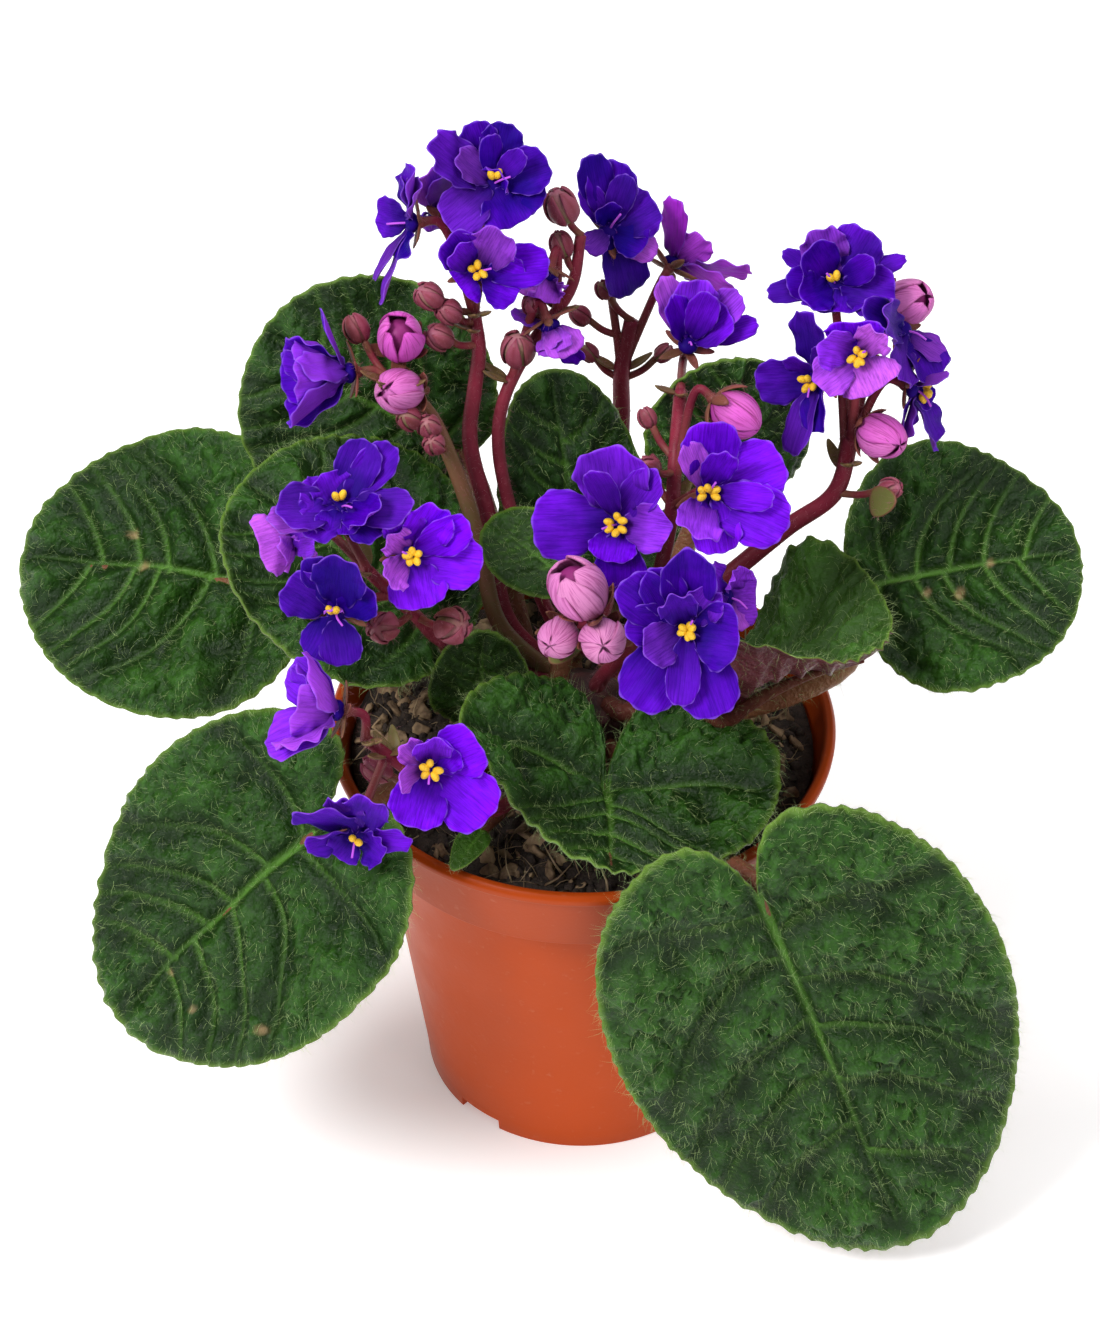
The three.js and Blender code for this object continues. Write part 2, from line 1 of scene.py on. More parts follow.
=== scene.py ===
"""A flowering african violet in a round plastic nursery pot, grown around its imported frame.

Lengths in the tables are millimetres about the pot's axis, with the floor at z = 0. Every mesh is made
there, and Flesh.thing() carries it to metres and to the frame's own origin.
"""
import json
import math
from collections import namedtuple

import bpy
import numpy as np
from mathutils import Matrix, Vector

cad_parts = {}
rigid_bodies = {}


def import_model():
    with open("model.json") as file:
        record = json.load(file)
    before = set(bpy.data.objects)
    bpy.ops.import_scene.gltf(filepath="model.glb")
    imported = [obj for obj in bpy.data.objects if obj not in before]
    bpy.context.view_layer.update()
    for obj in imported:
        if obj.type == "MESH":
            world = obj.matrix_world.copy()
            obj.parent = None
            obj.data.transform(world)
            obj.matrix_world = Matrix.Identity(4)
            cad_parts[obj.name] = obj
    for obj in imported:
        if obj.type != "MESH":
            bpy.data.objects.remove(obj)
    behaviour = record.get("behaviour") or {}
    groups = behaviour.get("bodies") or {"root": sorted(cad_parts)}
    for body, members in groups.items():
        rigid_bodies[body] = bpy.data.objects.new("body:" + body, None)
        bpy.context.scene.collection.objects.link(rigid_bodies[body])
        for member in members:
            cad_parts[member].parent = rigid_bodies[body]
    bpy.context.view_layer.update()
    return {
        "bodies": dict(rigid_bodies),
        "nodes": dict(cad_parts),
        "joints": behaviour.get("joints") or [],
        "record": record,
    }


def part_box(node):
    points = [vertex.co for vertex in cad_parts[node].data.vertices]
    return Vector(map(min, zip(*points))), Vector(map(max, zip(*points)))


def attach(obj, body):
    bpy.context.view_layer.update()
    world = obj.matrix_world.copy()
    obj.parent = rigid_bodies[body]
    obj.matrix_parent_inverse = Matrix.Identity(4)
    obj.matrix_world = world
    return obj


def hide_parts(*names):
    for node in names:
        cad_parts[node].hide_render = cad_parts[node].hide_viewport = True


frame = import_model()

bl_info = {
    "name": "Potted African Violet",
    "version": (1, 0, 0),
    "blender": (4, 5, 0),
    "location": "3D View > Sidebar > Violet",
    "description": "Grows a flowering african violet in a round plastic pot",
    "category": "Add Mesh",
}

MM = 0.001
PER_SQUARE_MM = 1e6
POT_LOW, POT_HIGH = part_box("pot")
AXIS = np.array([(POT_LOW.x + POT_HIGH.x) / 2, (POT_LOW.y + POT_HIGH.y) / 2, 0.0])
BODY = "root"
UP = np.array([0.0, 0.0, 1.0])
UNCOMBED = np.zeros((1, 3))

# The random draws of each kind of piece start from these, so that every run makes the same plant.
SOIL_SEED = 7
LEAF_SEED = 1
BUD_SEED = 40
FLOWER_SEED = 60
ANTHER_SEED = 90
STALK_SEED = 100

# ---- what grows where -----------------------------------------------------------------------------------
CROWN_RADIUS = 9
CROWN_FOOT = 82
CROWN_TOP = 110

# joint and tip are the ends of the midrib, look is the way the upper face looks, root the angle and the
# height at which the stalk leaves the crown, via a point on the stalk. lobe, cup, arch, taper, lift and
# twist shape the blade, as shares of its size. stalk is the stalk's radius, and burgundy how red the
# underside is, from 0 to 1.
Leaf = namedtuple(
    "Leaf", "joint tip width look root via lobe cup arch taper lift twist stalk burgundy",
    defaults=(0.0, 0.0, 2.3, 0.5))
LEAVES = {
    "large_front_leaf": Leaf(
        (37, -60, 103), (71, -70, 9), 86, (4, 11), (-57, 98), (26, -42, 100.6), 0.23, -0.12, -0.02, -0.07),
    "lower_left_leaf": Leaf(
        (-57, -45, 106), (-99, -51, 58), 69, (-21, 46), (218, 98), (-40, -31, 106), 0.36, 0, 0.02, -0.09),
    "far_left_leaf": Leaf(
        (-69, 21, 118), (-124, 37, 112), 65, (-15, 55), (164, 98), (-40, 11, 108), 0.23, 0.04, 0.03, -0.1),
    "middle_left_leaf": Leaf(
        (-32, -4, 126), (-72, 19, 150), 60, (-8, 83), (188, 104), (-21, -4, 113), 0.13, 0.08, 0.06, 0),
    "back_left_leaf": Leaf(
        (-29, 35, 146), (-69, 44, 170), 59, (-18, 23), (131, 100), (-17, 22, 122), 0.15, 0.04, 0.04, 0.06),
    "front_centre_leaf": Leaf(
        (5, -32, 109), (7, -60, 111), 70, (-70, 108), (-79, 100), (3, -20, 101), 0.75, 0.3, -0.03, -0.08,
        lift=0.45, twist=-0.12),
    "right_leaf": Leaf(
        (62, 13, 126), (107, 21, 129), 59, (10, 66), (-14, 100), (56, 1, 114), 0.12, 0.07, 0.04, -0.13,
        stalk=2.8, burgundy=0.0),
    "middle_right_leaf": Leaf(
        (30, -17, 119), (63, -24, 140), 61, (9, 110), (-33, 106), (20, -7, 113), 0.07, 0.56, 0.06, -0.05,
        burgundy=1.0),
    "back_centre_leaf": Leaf(
        (-3, 11, 128), (-7, 38, 165), 35, (29, 13), (100, 102), (-2, 11, 115), 0.05, 0.06, 0.06, -0.08),
    "back_right_leaf": Leaf(
        (27, 20, 144), (36, 30, 174), 39, (29, 30), (38, 100), (17, 13, 120), 0.07, -0.1, 0.01, 0.03),
    "rear_leaf": Leaf(
        (3, 34, 107), (6, 71, 99), 42, (180, 82), (62, 99), (5, 22, 104), 0.15, 0.06, 0.08, -0.05),
    "small_centre_leaf": Leaf(
        (-3, -12, 148), (-20, 3, 152), 18, (3, 55), (240, 110), (-4, -7, 126), 0.08, 0.02, 0.04, 0),
    "cupped_young_leaf": Leaf(
        (-21, -8, 106), (-21, -12, 135), 23, (-5, 10), (-128, 102), (-13, -8, 101), 0.13, 0.16, 0.02, -0.15),
    "tiny_front_leaf": Leaf(
        (-21, -39, 102), (-27, -50, 101), 6.5, (0, 75), (-112, 98), (-15, -28, 99), 0.05, 0.1, 0.05, -0.35,
        stalk=1.1),
}

# How much paler than an old blade a young one is.
YOUNG = {
    "tiny_front_leaf": 0.4, "middle_right_leaf": 0.22, "small_centre_leaf": 0.1, "cupped_young_leaf": 0.06,
}

# Tan marks on the blades: along the midrib from the joint, across it, and how large.
SCARS = {
    "far_left_leaf": ((32, -7.5, 1), (28, -0.5, 1.1)),
    "lower_left_leaf": ((46, 1.5, 0.8), (47, 10.5, 0.7), (35, 24.5, 1)),
    "right_leaf": ((26, 0, 0.9), (18, -5.5, 1.1), (11, -4.5, 0.9)),
}

# throat is the middle of the flower, look the way it faces and glow how light its violet is, from 0 to 1,
# and above 1 how red; a low glow is partly painted shade, for flowers that lie in shadow. stem and start say
# which stalk carries it and from where along it, 0 at the crown to 1 at the top; anthers is how many pairs of
# lobes show. Buds have a radius, how far their petals have opened and a tone from pale to pink.
Flower = namedtuple("Flower", "throat look glow stem start anthers", defaults=(3,))
Bud = namedtuple("Bud", "throat look radius stem start open tone", defaults=(0.0, 0.3))
FLOWERS = {
    "top_left_flower": Flower((-19, 30, 219), (25, 50), 0.12, "a", 1, 1),
    "side_left_flower": Flower((-36, 22, 215), (-80, 5), 0.3, "a", 1, 0),
    "rear_left_flower": Flower((-31, 34, 210), (-140, 30), 0.4, "a", 0.93, 0),
    "upper_left_cup_flower": Flower((-22, 19, 205), (5, 35), 0.4, "a", 1, 2),
    "nodding_flower": Flower((-8, 29, 196), (-30, -50), 0.6, "k", 0.8, 0),
    "spent_flower": Flower((-7, 22, 188), (40, -50), 0.4, "k", 0.62, 0),
    "left_bell_flower": Flower((-49, 8, 187), (-75, 5), 0.45, "b", 1, 0),
    "top_centre_flower": Flower((5, 50, 193), (15, 60), 0.1, "c", 0.75, 0),
    "rear_centre_flower": Flower((19, 58, 179), (150, 20), 1.7, "c", 0.75, 0),
    "upward_centre_flower": Flower((22, 38, 172), (20, 65), 0.55, "h", 1, 0),
    "top_right_flower": Flower((52, 30, 194), (0, 45), 0.35, "d", 1, 1),
    "left_right_group_flower": Flower((48, 16, 180), (-45, 5), 0.15, "d", 0.9, 2),
    "pink_cup_flower": Flower((56, 10, 191), (-10, 25), 0.9, "d", 1),
    "right_upper_flower": Flower((67, 26, 185), (60, 30), 0.3, "d", 1, 0),
    "right_hanging_flower": Flower((69, 18, 176), (75, -10), 0.2, "d", 0.95, 2),
    "left_spread_flower": Flower((-49, -23, 177), (10, 60), 0.25, "e", 1, 1),
    "left_open_flower": Flower((-35, -28, 169), (10, 25), 0.85, "e", 0.85),
    "left_dark_flower": Flower((-50, -36, 160), (-10, 25), 0.1, "e", 0.9, 1),
    "left_pink_flower": Flower((-60, -16, 163), (-70, -10), 0.8, "e", 1, 0),
    "low_side_flower": Flower((-50, -52, 148), (-80, 20), 0.7, "f", 1, 0),
    "low_open_flower": Flower((-31, -57, 137), (10, 30), 0.75, "f", 0.85),
    "low_nodding_flower": Flower((-46, -60, 121), (-10, -5), 0.35, "f", 0.9, 1),
    "centre_left_flower": Flower((7, -17, 168), (-15, 35), 0.6, "h", 0.5),
    "centre_right_flower": Flower((25, -14, 174), (10, 35), 0.75, "h", 0.55),
    "double_centre_flower": Flower((21, -39, 159), (0, 30), 0.3, "g", 1),
    "rear_petal_flower": Flower((30, -20, 151), (70, 20), 0.7, "g", 0.9, 0),
}
PALE_FLOWERS = ("pink_cup_flower", "nodding_flower", "left_pink_flower")

# Each petal: its turn in the flower's plane (0 right, 90 up, seen from the front), length, width, rise above
# the plane and further curl in degrees, and tone, from 0, deep violet, to 1, pink.
PETALS = {
    "top_left_flower": (
        (145, 20, 10, 25, 20, 0.15), (100, 14, 9, 20, 10, 0.05), (65, 13, 9, 20, 10, 0.05),
        (0, 12.5, 10, 15, 15, 0.05), (325, 11, 9, 10, 10, 0), (280, 10, 13, 5, 0, 0),
        (205, 15, 10, 5, 10, 0.2), (90, 12, 5, 45, 10, 0), (30, 10.5, 5, 45, 20, 0.1),
        (140, 12, 7, 25, 20, 0.35), (25, 4, 7, 60, 40, 0)),
    "side_left_flower": (
        (85, 15, 7, 0, 5, 0.1), (110, 10.5, 7, 8, 5, 0.1), (190, 8.5, 9, 55, 0, 0.1),
        (295, 8, 12, 25, 10, 0), (280, 14.5, 4, 30, 0, 0.3), (295, 18, 4, 20, 0, 0.3),
        (80, 12, 6, -10, 0, 0.3)),
    "rear_left_flower": (
        (70, 13.5, 8, 20, 0, 0.7), (90, 13, 9, 10, 0, 0.1), (210, 14.5, 9, 10, 0, 0.1),
        (290, 4, 9, 20, 0, 0.1), (240, 12, 9, -10, 0, 0)),
    "upper_left_cup_flower": (
        (130, 13.5, 9, 35, 20, 0.1), (100, 10.5, 7, 30, 0, 0.05), (60, 14, 10, 35, 25, 0.5),
        (5, 15, 9, 15, 0, 0), (215, 5, 10, 5, 0, 0), (335, 9.5, 11, 5, 0, 0),
        (135, 11.5, 7, 40, 30, 0.1)),
    "nodding_flower": (
        (155, 7.5, 10, 40, 20, 0.85), (335, 5.5, 9, 40, 20, 0.75), (60, 6.5, 8, 60, 10, 0.6),
        (160, 4.5, 8, 20, 0, 0.9), (315, 4, 8, 20, 0, 0.9)),
    "spent_flower": (
        (250, 10, 5, -45, 0, 0), (100, 8.5, 9, 55, 20, 0.7), (325, 12, 5, 60, 0, 0),
        (135, 7, 8, 50, 10, 0.5), (160, 6, 7, 40, 0, 0.6)),
    "left_bell_flower": (
        (150, 15, 11, 60, 0, 0), (210, 16, 12, 55, 0, 0), (85, 14, 12, 60, 10, 0.05),
        (265, 16.5, 12, 45, 10, 0), (25, 15, 11, 55, 15, 0.1), (325, 17, 11, 50, 10, 0.05),
        (95, 17, 4, 20, 0, 0.1), (170, 14, 9, 65, 0, 0.1)),
    "top_centre_flower": (
        (100, 17.5, 8, 35, 10, 0.05), (80, 15, 11, 25, 10, 0.05), (60, 13, 6, 45, 0, 0.1),
        (15, 11.5, 11, 20, 10, 0.1), (120, 11, 6, 30, 0, 0.1), (320, 8.5, 9, 5, 0, 0),
        (325, 11.5, 7, -10, 0, 0.8), (215, 7.5, 6, 0, 0, 0.3), (285, 16.5, 10, -30, -30, 0.1),
        (105, 6.5, 6, 60, 0, 0)),
    "rear_centre_flower": (
        (90, 17.5, 6, 20, 0, 0), (140, 10, 8, 30, 0, 0.5), (215, 18, 10, 30, 0, 0.6),
        (215, 15, 10, 5, 0, 0.5), (275, 15.5, 8, 20, 0, 0.4)),
    "upward_centre_flower": (
        (110, 17, 7, 40, 10, 0.8), (115, 13, 7, 55, 0, 0), (70, 15, 10, 45, 10, 0.3),
        (10, 12, 10, 40, 10, 0.1), (20, 16, 8, 35, 10, 0.5), (355, 15.5, 6, 20, 0, 0.1),
        (45, 14, 7, 60, 10, 0.1)),
    "top_right_flower": (
        (110, 13, 10, 20, 20, 0.4), (60, 13.5, 11, 20, 10, 0.1), (130, 13, 9, 40, 20, 0),
        (25, 12.5, 6, 45, 10, 0.05), (180, 11, 7, 20, 0, 0), (150, 13, 4, 10, 0, 0.1),
        (190, 15, 5, 10, 0, 0.1), (210, 10, 9, 20, 30, 0), (270, 7.5, 14, 10, 40, 0.05),
        (345, 13, 11, 10, 10, 0.1), (20, 15.5, 4, 5, 0, 0.1)),
    "left_right_group_flower": (
        (105, 16, 9, 0, 10, 0.1), (140, 8.5, 5, 40, 0, 0.1), (200, 13.5, 10, 35, 0, 0.1),
        (310, 11.5, 8, 20, 10, 0), (280, 17, 7, 30, 0, 0.2), (65, 14, 6, 20, 0, 0.1)),
    "pink_cup_flower": (
        (100, 9.5, 12, 25, 20, 0.05), (160, 11, 9, 35, 20, 0.35), (220, 11, 9, 15, 30, 0.75),
        (305, 8.5, 13, 10, 20, 1), (55, 13, 8, 35, 30, 1)),
    "right_upper_flower": (
        (140, 17.5, 9, 20, 10, 0.15), (255, 12, 12, 15, 0, 0.1), (290, 10.5, 6, 25, 0, 0.45),
        (135, 20, 7, 10, 0, 0.05), (200, 15, 9, 20, 0, 0.2)),
    "right_hanging_flower": (
        (260, 15, 7, 0, 0, 0.1), (285, 19.5, 7, 25, 0, 0.1), (90, 9, 4, 50, 0, 0.2),
        (290, 6, 6, 60, 0, 0), (265, 13, 7, 0, 0, 0.2)),
    "left_spread_flower": (
        (115, 8, 9, 25, 10, 0.1), (160, 9.5, 9, 20, 10, 0.15), (185, 14.5, 10, 10, 20, 0.15),
        (190, 16, 7, 5, 20, 0.6), (315, 13.5, 9, 35, 40, 0), (310, 11, 8, 15, 0, 0.05),
        (210, 10, 10, 5, 0, 0.1), (60, 14.5, 9, 20, 10, 0.1), (40, 16.5, 8, 15, 10, 0.1),
        (340, 16.5, 9, 20, 20, 0.15), (250, 6.5, 9, 5, 0, 0.05)),
    "left_open_flower": (
        (60, 13.5, 10, 20, 10, 0.05), (100, 11, 9, 20, 20, 0.15), (130, 8, 7, 15, 40, 0.9),
        (215, 11.5, 7, 20, 70, 0.85), (350, 15, 12, 15, 10, 0.1), (275, 11.5, 12, 10, 10, 0.1),
        (30, 14.5, 8, 20, 0, 0)),
    "left_dark_flower": (
        (80, 20, 11, 30, 20, 0.05), (145, 13, 11, 20, 10, 0.1), (110, 15, 7, 20, 10, 0.05),
        (250, 10.5, 9, 10, 10, 0.05), (285, 11, 9, 10, 0, 0.1), (100, 4, 4, 65, 40, 0.95),
        (40, 11.5, 9, 20, 10, 0)),
    "left_pink_flower": (
        (45, 11, 13, 40, 30, 1), (200, 10.5, 6, 30, 0, 0), (345, 7, 11, 25, 20, 0.9),
        (355, 9, 10, -20, 0, 0.8), (40, 20, 9, -10, 0, 0.3)),
    "low_side_flower": (
        (180, 14, 12, 40, 10, 0.2), (265, 17, 13, 38, 10, 0.35), (90, 15, 14, 38, 15, 0.5),
        (310, 15, 12, 45, 20, 0.7), (20, 12, 12, 60, 15, 0.5), (130, 13, 9, 50, 10, 0.2)),
    "low_open_flower": (
        (25, 12.5, 12, 20, 10, 0.05), (315, 16.5, 13, 15, 10, 0.05), (245, 13, 12, 15, 10, 0.05),
        (130, 10, 6, 20, 30, 0.9), (185, 14, 5, 30, 60, 0.8), (85, 11.5, 8, 35, 30, 0.2),
        (45, 7, 9, 20, 0, 0)),
    "low_nodding_flower": (
        (120, 20, 10, 25, 10, 0.1), (75, 18, 10, 10, 10, 0.1), (345, 7.5, 10, 30, 0, 0.05),
        (165, 11.5, 7, 30, 10, 0.1), (225, 6.5, 8, 40, 0, 0.1), (15, 12.5, 7, 10, 0, 0.1),
        (100, 15, 8, 10, 10, 0.2)),
    "centre_left_flower": (
        (100, 18, 15, 20, 15, 0.2), (190, 18, 14, 15, 15, 0.1), (60, 15.5, 8, 18, 10, 0.15),
        (5, 13, 10, 20, 10, 0.4), (270, 8, 10, 10, 10, 0), (280, 17, 11, -20, 0, 0),
        (110, 20, 6, 40, 30, 0.1)),
    "centre_right_flower": (
        (85, 17.5, 12, 20, 20, 0.05), (110, 13.5, 6, 20, 20, 0.8), (240, 15, 10, 35, 40, 0.45),
        (70, 15, 7, 45, 20, 0.05), (20, 17.5, 13, 15, 10, 0.1), (330, 18.5, 13, 15, 10, 0.1),
        (350, 15, 6, 30, 10, 0.1), (275, 13, 10, 5, 10, 0.1)),
    "double_centre_flower": (
        (90, 20, 11, 20, 15, 0.05), (140, 19, 11, 20, 10, 0.05), (120, 17, 9, 15, 20, 0.05),
        (170, 14, 9, 15, 20, 0.05), (205, 11.5, 9, 20, 30, 0.25), (60, 11.5, 8, 15, 20, 0.2),
        (355, 11.5, 14, 15, 15, 0.05), (235, 19.5, 13, 5, 10, 0.05), (265, 16, 7, 10, 10, 0.1),
        (290, 19, 12, 5, 10, 0.05), (110, 14, 8, 30, 40, 0.1)),
    "rear_petal_flower": (
        (320, 8, 12, 25, 10, 0.45), (60, 7, 10, 25, 10, 0.45), (240, 7.5, 9, 20, 10, 0.85),
        (120, 11, 9, 0, 0, 0.3), (175, 10, 9, 0, 0, 0.2)),
}
BUDS = {
    "opening_centre_bud": Bud((-1, -32, 163), (-60, 62), 6.5, "g", 0.95, 0.28, 0.4),
    "round_centre_bud": Bud((-5, -33, 151), (-20, 20), 4.4, "g", 0.9),
    "striped_centre_bud": Bud((4, -36, 153), (0, 30), 5, "g", 0.95),
    "opening_left_bud": Bud((-38, 12, 193), (0, 60), 5.5, "b", 0.95, 0.3, 1.2),
    "lower_left_bud": Bud((-38, 6, 184), (-40, 30), 5, "b", 0.9, 0.1, 0.6),
    "upper_right_bud": Bud((67, 34, 186), (60, 40), 5.5, "d", 1, 0.25, 0.6),
    "lower_right_bud": Bud((62, 12, 168), (40, 10), 5, "d", 0.85, 0.15, 0.8),
    "hooked_bud": Bud((31, 4, 180), (60, -20), 5, "h", 0.6, 0.0, 0.9),
}

# root is the angle and height at the crown, path the points that the stalk passes through, buds the small
# closed buds that grow on it, each as its place and radius. green is how little red the stalk has, and
# bracts its leafy scales, each as its foot, tip and width.
Stalk = namedtuple("Stalk", "name root radius path buds green bracts", defaults=(0.04, ()))
STALKS = {
    "a": Stalk(
        "upper_left_stalk", (165, 112), 1.7,
        ((-16, 2, 125), (-20, 8, 148), (-24, 14, 165), (-23, 18, 175), (-22, 20, 184), (-23, 22, 192)),
        ((-32, 17, 200, 3), (-28, 17, 196, 2.8), (-30, 15, 191, 3))),
    "b": Stalk(
        "left_stalk", (200, 112), 1.7,
        ((-18, -4, 130), (-22, 2, 147), (-28, 7, 166), (-33, 8, 178), (-40, 8, 185)),
        ((-47, 15, 193, 2.8), (-36, 3, 179, 2.6), (-32, 3, 177, 2.6), (-31, 1, 174, 2.4)), 0.7),
    "k": Stalk(
        "inner_left_stalk", (120, 113), 1.4,
        ((-9, 6, 128), (-14, 8, 144), (-18, 15, 161), (-17, 18, 172), (-11, 25, 182), (-3, 32, 191),
         (-1, 37, 201)),
        ((-14, 20, 184, 3.8), (-5, 36, 209, 3.8), (-5, 35, 200, 2.6), (-11, 26, 191, 2.2))),
    "c": Stalk(
        "back_centre_stalk", (75, 112), 2,
        ((6, 24, 122), (8, 46, 146), (8, 49, 156), (10, 51, 168)),
        ((-1, 50, 170, 2.2), (1, 50, 160, 2), (17, 50, 160, 2), (4, 50, 177, 2))),
    "d": Stalk(
        "right_stalk", (15, 112), 2,
        ((22, 7, 124), (43, 14, 141), (53, 14, 151), (56, 16, 164)),
        ((64, 8, 157, 2.5),), bracts=(((60, 7, 154), (66, 2, 159), 6.5),)),
    "e": Stalk(
        "middle_left_stalk", (222, 112), 1.6,
        ((-14, -5, 117), (-23, -5, 123), (-30, -10, 130), (-35, -17, 143), (-44, -23, 160)),
        ((-27, -26, 148, 4), (-41, -29, 150, 3.5))),
    "f": Stalk(
        "low_left_stalk", (-115, 108), 1.5,
        ((-8, -20, 104), (-17, -35, 105), (-28, -46, 117), (-36, -52, 132), (-44, -51, 139)),
        ((-42, -48, 128, 3),)),
    "g": Stalk(
        "centre_stalk", (-60, 113), 1.6,
        ((5, -12, 123), (9, -20, 136), (11, -25, 146)), (),
        bracts=(((0, -25, 146), (-7, -31, 142), 5.5), ((1, -25, 146), (6, -32, 143), 5))),
    "h": Stalk(
        "tall_centre_stalk", (-5, 113), 1.6,
        ((13, -3, 130), (18, -2, 156), (19, 6, 170), (20, 20, 173)),
        ((13, -4, 172, 2.6), (14, 5, 165, 2.2), (13, 10, 174, 2))),
}


# ---- points and directions ------------------------------------------------------------------------------
def vec(values):
    return np.array(values, float)


def unit(direction):
    return direction / np.linalg.norm(direction)


def facing(turn, rise):
    """The way something looks: turn 0 is towards the front, positive to the right, and rise is upwards."""
    a, e = math.radians(turn), math.radians(rise)
    return np.array([math.cos(e) * math.sin(a), -math.cos(e) * math.cos(a), math.sin(e)])


def root_point(angle, height, distance=0.0):
    """Where a stalk leaves the crown, or a distance further out."""
    turn = math.radians(angle)
    shoulder = 0.55 if height > CROWN_TOP - 5 else 1.0
    reach = CROWN_RADIUS * shoulder + distance + 1
    return np.array([reach * math.cos(turn), reach * math.sin(turn), height])


def smooth_path(points, count):
    """Evenly numbered points on the centripetal Catmull-Rom curve through the given ones."""
    knots = [vec(p) for p in points]
    knots = [2 * knots[0] - knots[1], *knots, 2 * knots[-1] - knots[-2]]
    spans = len(knots) - 3
    out = []
    for share in np.linspace(0, spans, count):
        i = min(int(share), spans - 1)
        p0, p1, p2, p3 = knots[i:i + 4]
        t1 = math.sqrt(np.linalg.norm(p1 - p0))
        t2 = t1 + math.sqrt(np.linalg.norm(p2 - p1))
        t3 = t2 + math.sqrt(np.linalg.norm(p3 - p2))
        t = t1 + (t2 - t1) * (share - i)
        a1 = p0 + (p1 - p0) * t / t1
        a2 = p1 + (p2 - p1) * (t - t1) / (t2 - t1)
        a3 = p2 + (p3 - p2) * (t - t2) / (t3 - t2)
        b1 = a1 + (a2 - a1) * t / t2
        b2 = a2 + (a3 - a2) * (t - t1) / (t3 - t1)
        out.append(b1 + (b2 - b1) * (t - t1) / (t2 - t1))
    return np.array(out)


# ---- meshes ---------------------------------------------------------------------------------------------
class Flesh:
    """Collects closed bodies, and the values that their material reads at each point, into one mesh."""

    def __init__(self, *channels):
        self.points = []
        self.faces = []
        self.count = 0
        self.values = {channel: [] for channel in channels}

    def add(self, points, faces, **values):
        self.points.append(points)
        self.faces.extend((face + self.count).tolist() for face in faces)
        for channel, kept in self.values.items():
            given = np.asarray(values.get(channel, UNCOMBED if channel == "comb" else 0.0), float)
            kept.append(np.broadcast_to(given, (len(points), *given.shape[1:])))
        self.count += len(points)

    def thing(self, name, material=None):
        """Makes the mesh, in metres about the frame's origin, and puts it in the scene."""
        mesh = bpy.data.meshes.new(name)
        mesh.from_pydata((np.concatenate(self.points) * MM + AXIS).tolist(), [], self.faces)
        if material:
            mesh.materials.append(material)
        mesh.polygons.foreach_set("use_smooth", [True] * len(mesh.polygons))
        for channel, kept in self.values.items():
            data = np.concatenate(kept)
            if data.ndim == 1:
                mesh.attributes.new(channel, "FLOAT", "POINT").data.foreach_set("value", data)
            else:
                mesh.attributes.new(channel, "FLOAT_VECTOR", "POINT").data.foreach_set("vector", data.ravel())
        mesh.update()
        return put(name, mesh)


def put(name, mesh):
    thing = bpy.data.objects.new(name, mesh)
    bpy.context.scene.collection.objects.link(thing)
    return thing


def declare(thing, slot, *nodes):
    """What each finished piece says: the body it rides on and the nodes that it stands for. slot is not used.
    """
    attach(thing, BODY)
    if nodes:
        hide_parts(*nodes)


def ringed_faces(rings, sides):
    """Faces of a closed body whose points are its rings in turn, then the pole at its foot and at its top."""
    at = np.arange(rings * sides).reshape(rings, sides)
    beside = np.roll(at, -1, axis=1)
    walls = np.stack([at[:-1], beside[:-1], beside[1:], at[1:]], -1).reshape(-1, 4)
    foot = [np.array([rings * sides, b, a]) for a, b in zip(at[0], beside[0])]
    top = [np.array([rings * sides + 1, a, b]) for a, b in zip(at[-1], beside[-1])]
    return [*walls, *foot, *top]


def disc_grid(cells):
    """A unit disc as a square grid pressed round: each point's reach and turn, and a closed sheet's faces.

    The sheet has the disc's points twice, first its upper and then its lower face.
    """
    line = np.linspace(-1, 1, cells + 1)
    x, y = np.meshgrid(line, line, indexing="ij")
    flat = np.abs(x) >= np.abs(y)
    reach = np.where(flat, x, y)
    safe = np.where(reach == 0, 1, reach)
    turn = np.where(flat, math.pi / 4 * y / safe, math.pi / 2 - math.pi / 4 * x / safe)
    turn = np.where(reach < 0, turn + math.pi, turn) % (2 * math.pi)
    index = np.arange((cells + 1) ** 2).reshape(cells + 1, cells + 1)
    upper = np.stack([index[:-1, :-1], index[1:, :-1], index[1:, 1:], index[:-1, 1:]], -1).reshape(-1, 4)
    rim = np.concatenate([index[:-1, 0], index[-1, :-1], index[:0:-1, -1], index[0, :0:-1]])
    after = np.roll(rim, -1)
    under = len(index) ** 2
    wall = np.stack([rim + under, after + under, after, rim], -1)
    faces = np.concatenate([upper, upper[:, ::-1] + under, wall])
    return np.abs(reach).ravel(), turn.ravel(), faces


def tube(points, radii, sides):
    """A round closed tube along the points, with a pole at each end. Returns points, faces, share along."""
    count = len(points)
    radii = np.broadcast_to(radii, (count,))
    ahead = np.gradient(points, axis=0)
    ahead /= np.linalg.norm(ahead, axis=1)[:, None]
    side = unit(np.cross(ahead[0], UP if abs(ahead[0][2]) < 0.9 else vec((1, 0, 0))))
    turns = np.linspace(0, 2 * math.pi, sides, endpoint=False)
    rings = []
    for place, way, radius in zip(points, ahead, radii):
        side = unit(side - way * side.dot(way))
        other = np.cross(way, side)
        rings.append(place + radius * (np.outer(np.cos(turns), side) + np.outer(np.sin(turns), other)))
    poles = [points[0] - ahead[0] * radii[0] * 0.4, points[-1] + ahead[-1] * radii[-1] * 0.4]
    share = np.concatenate([np.repeat(np.linspace(0, 1, count), sides), [0, 1]])
    return np.concatenate([*rings, poles]), ringed_faces(count, sides), share


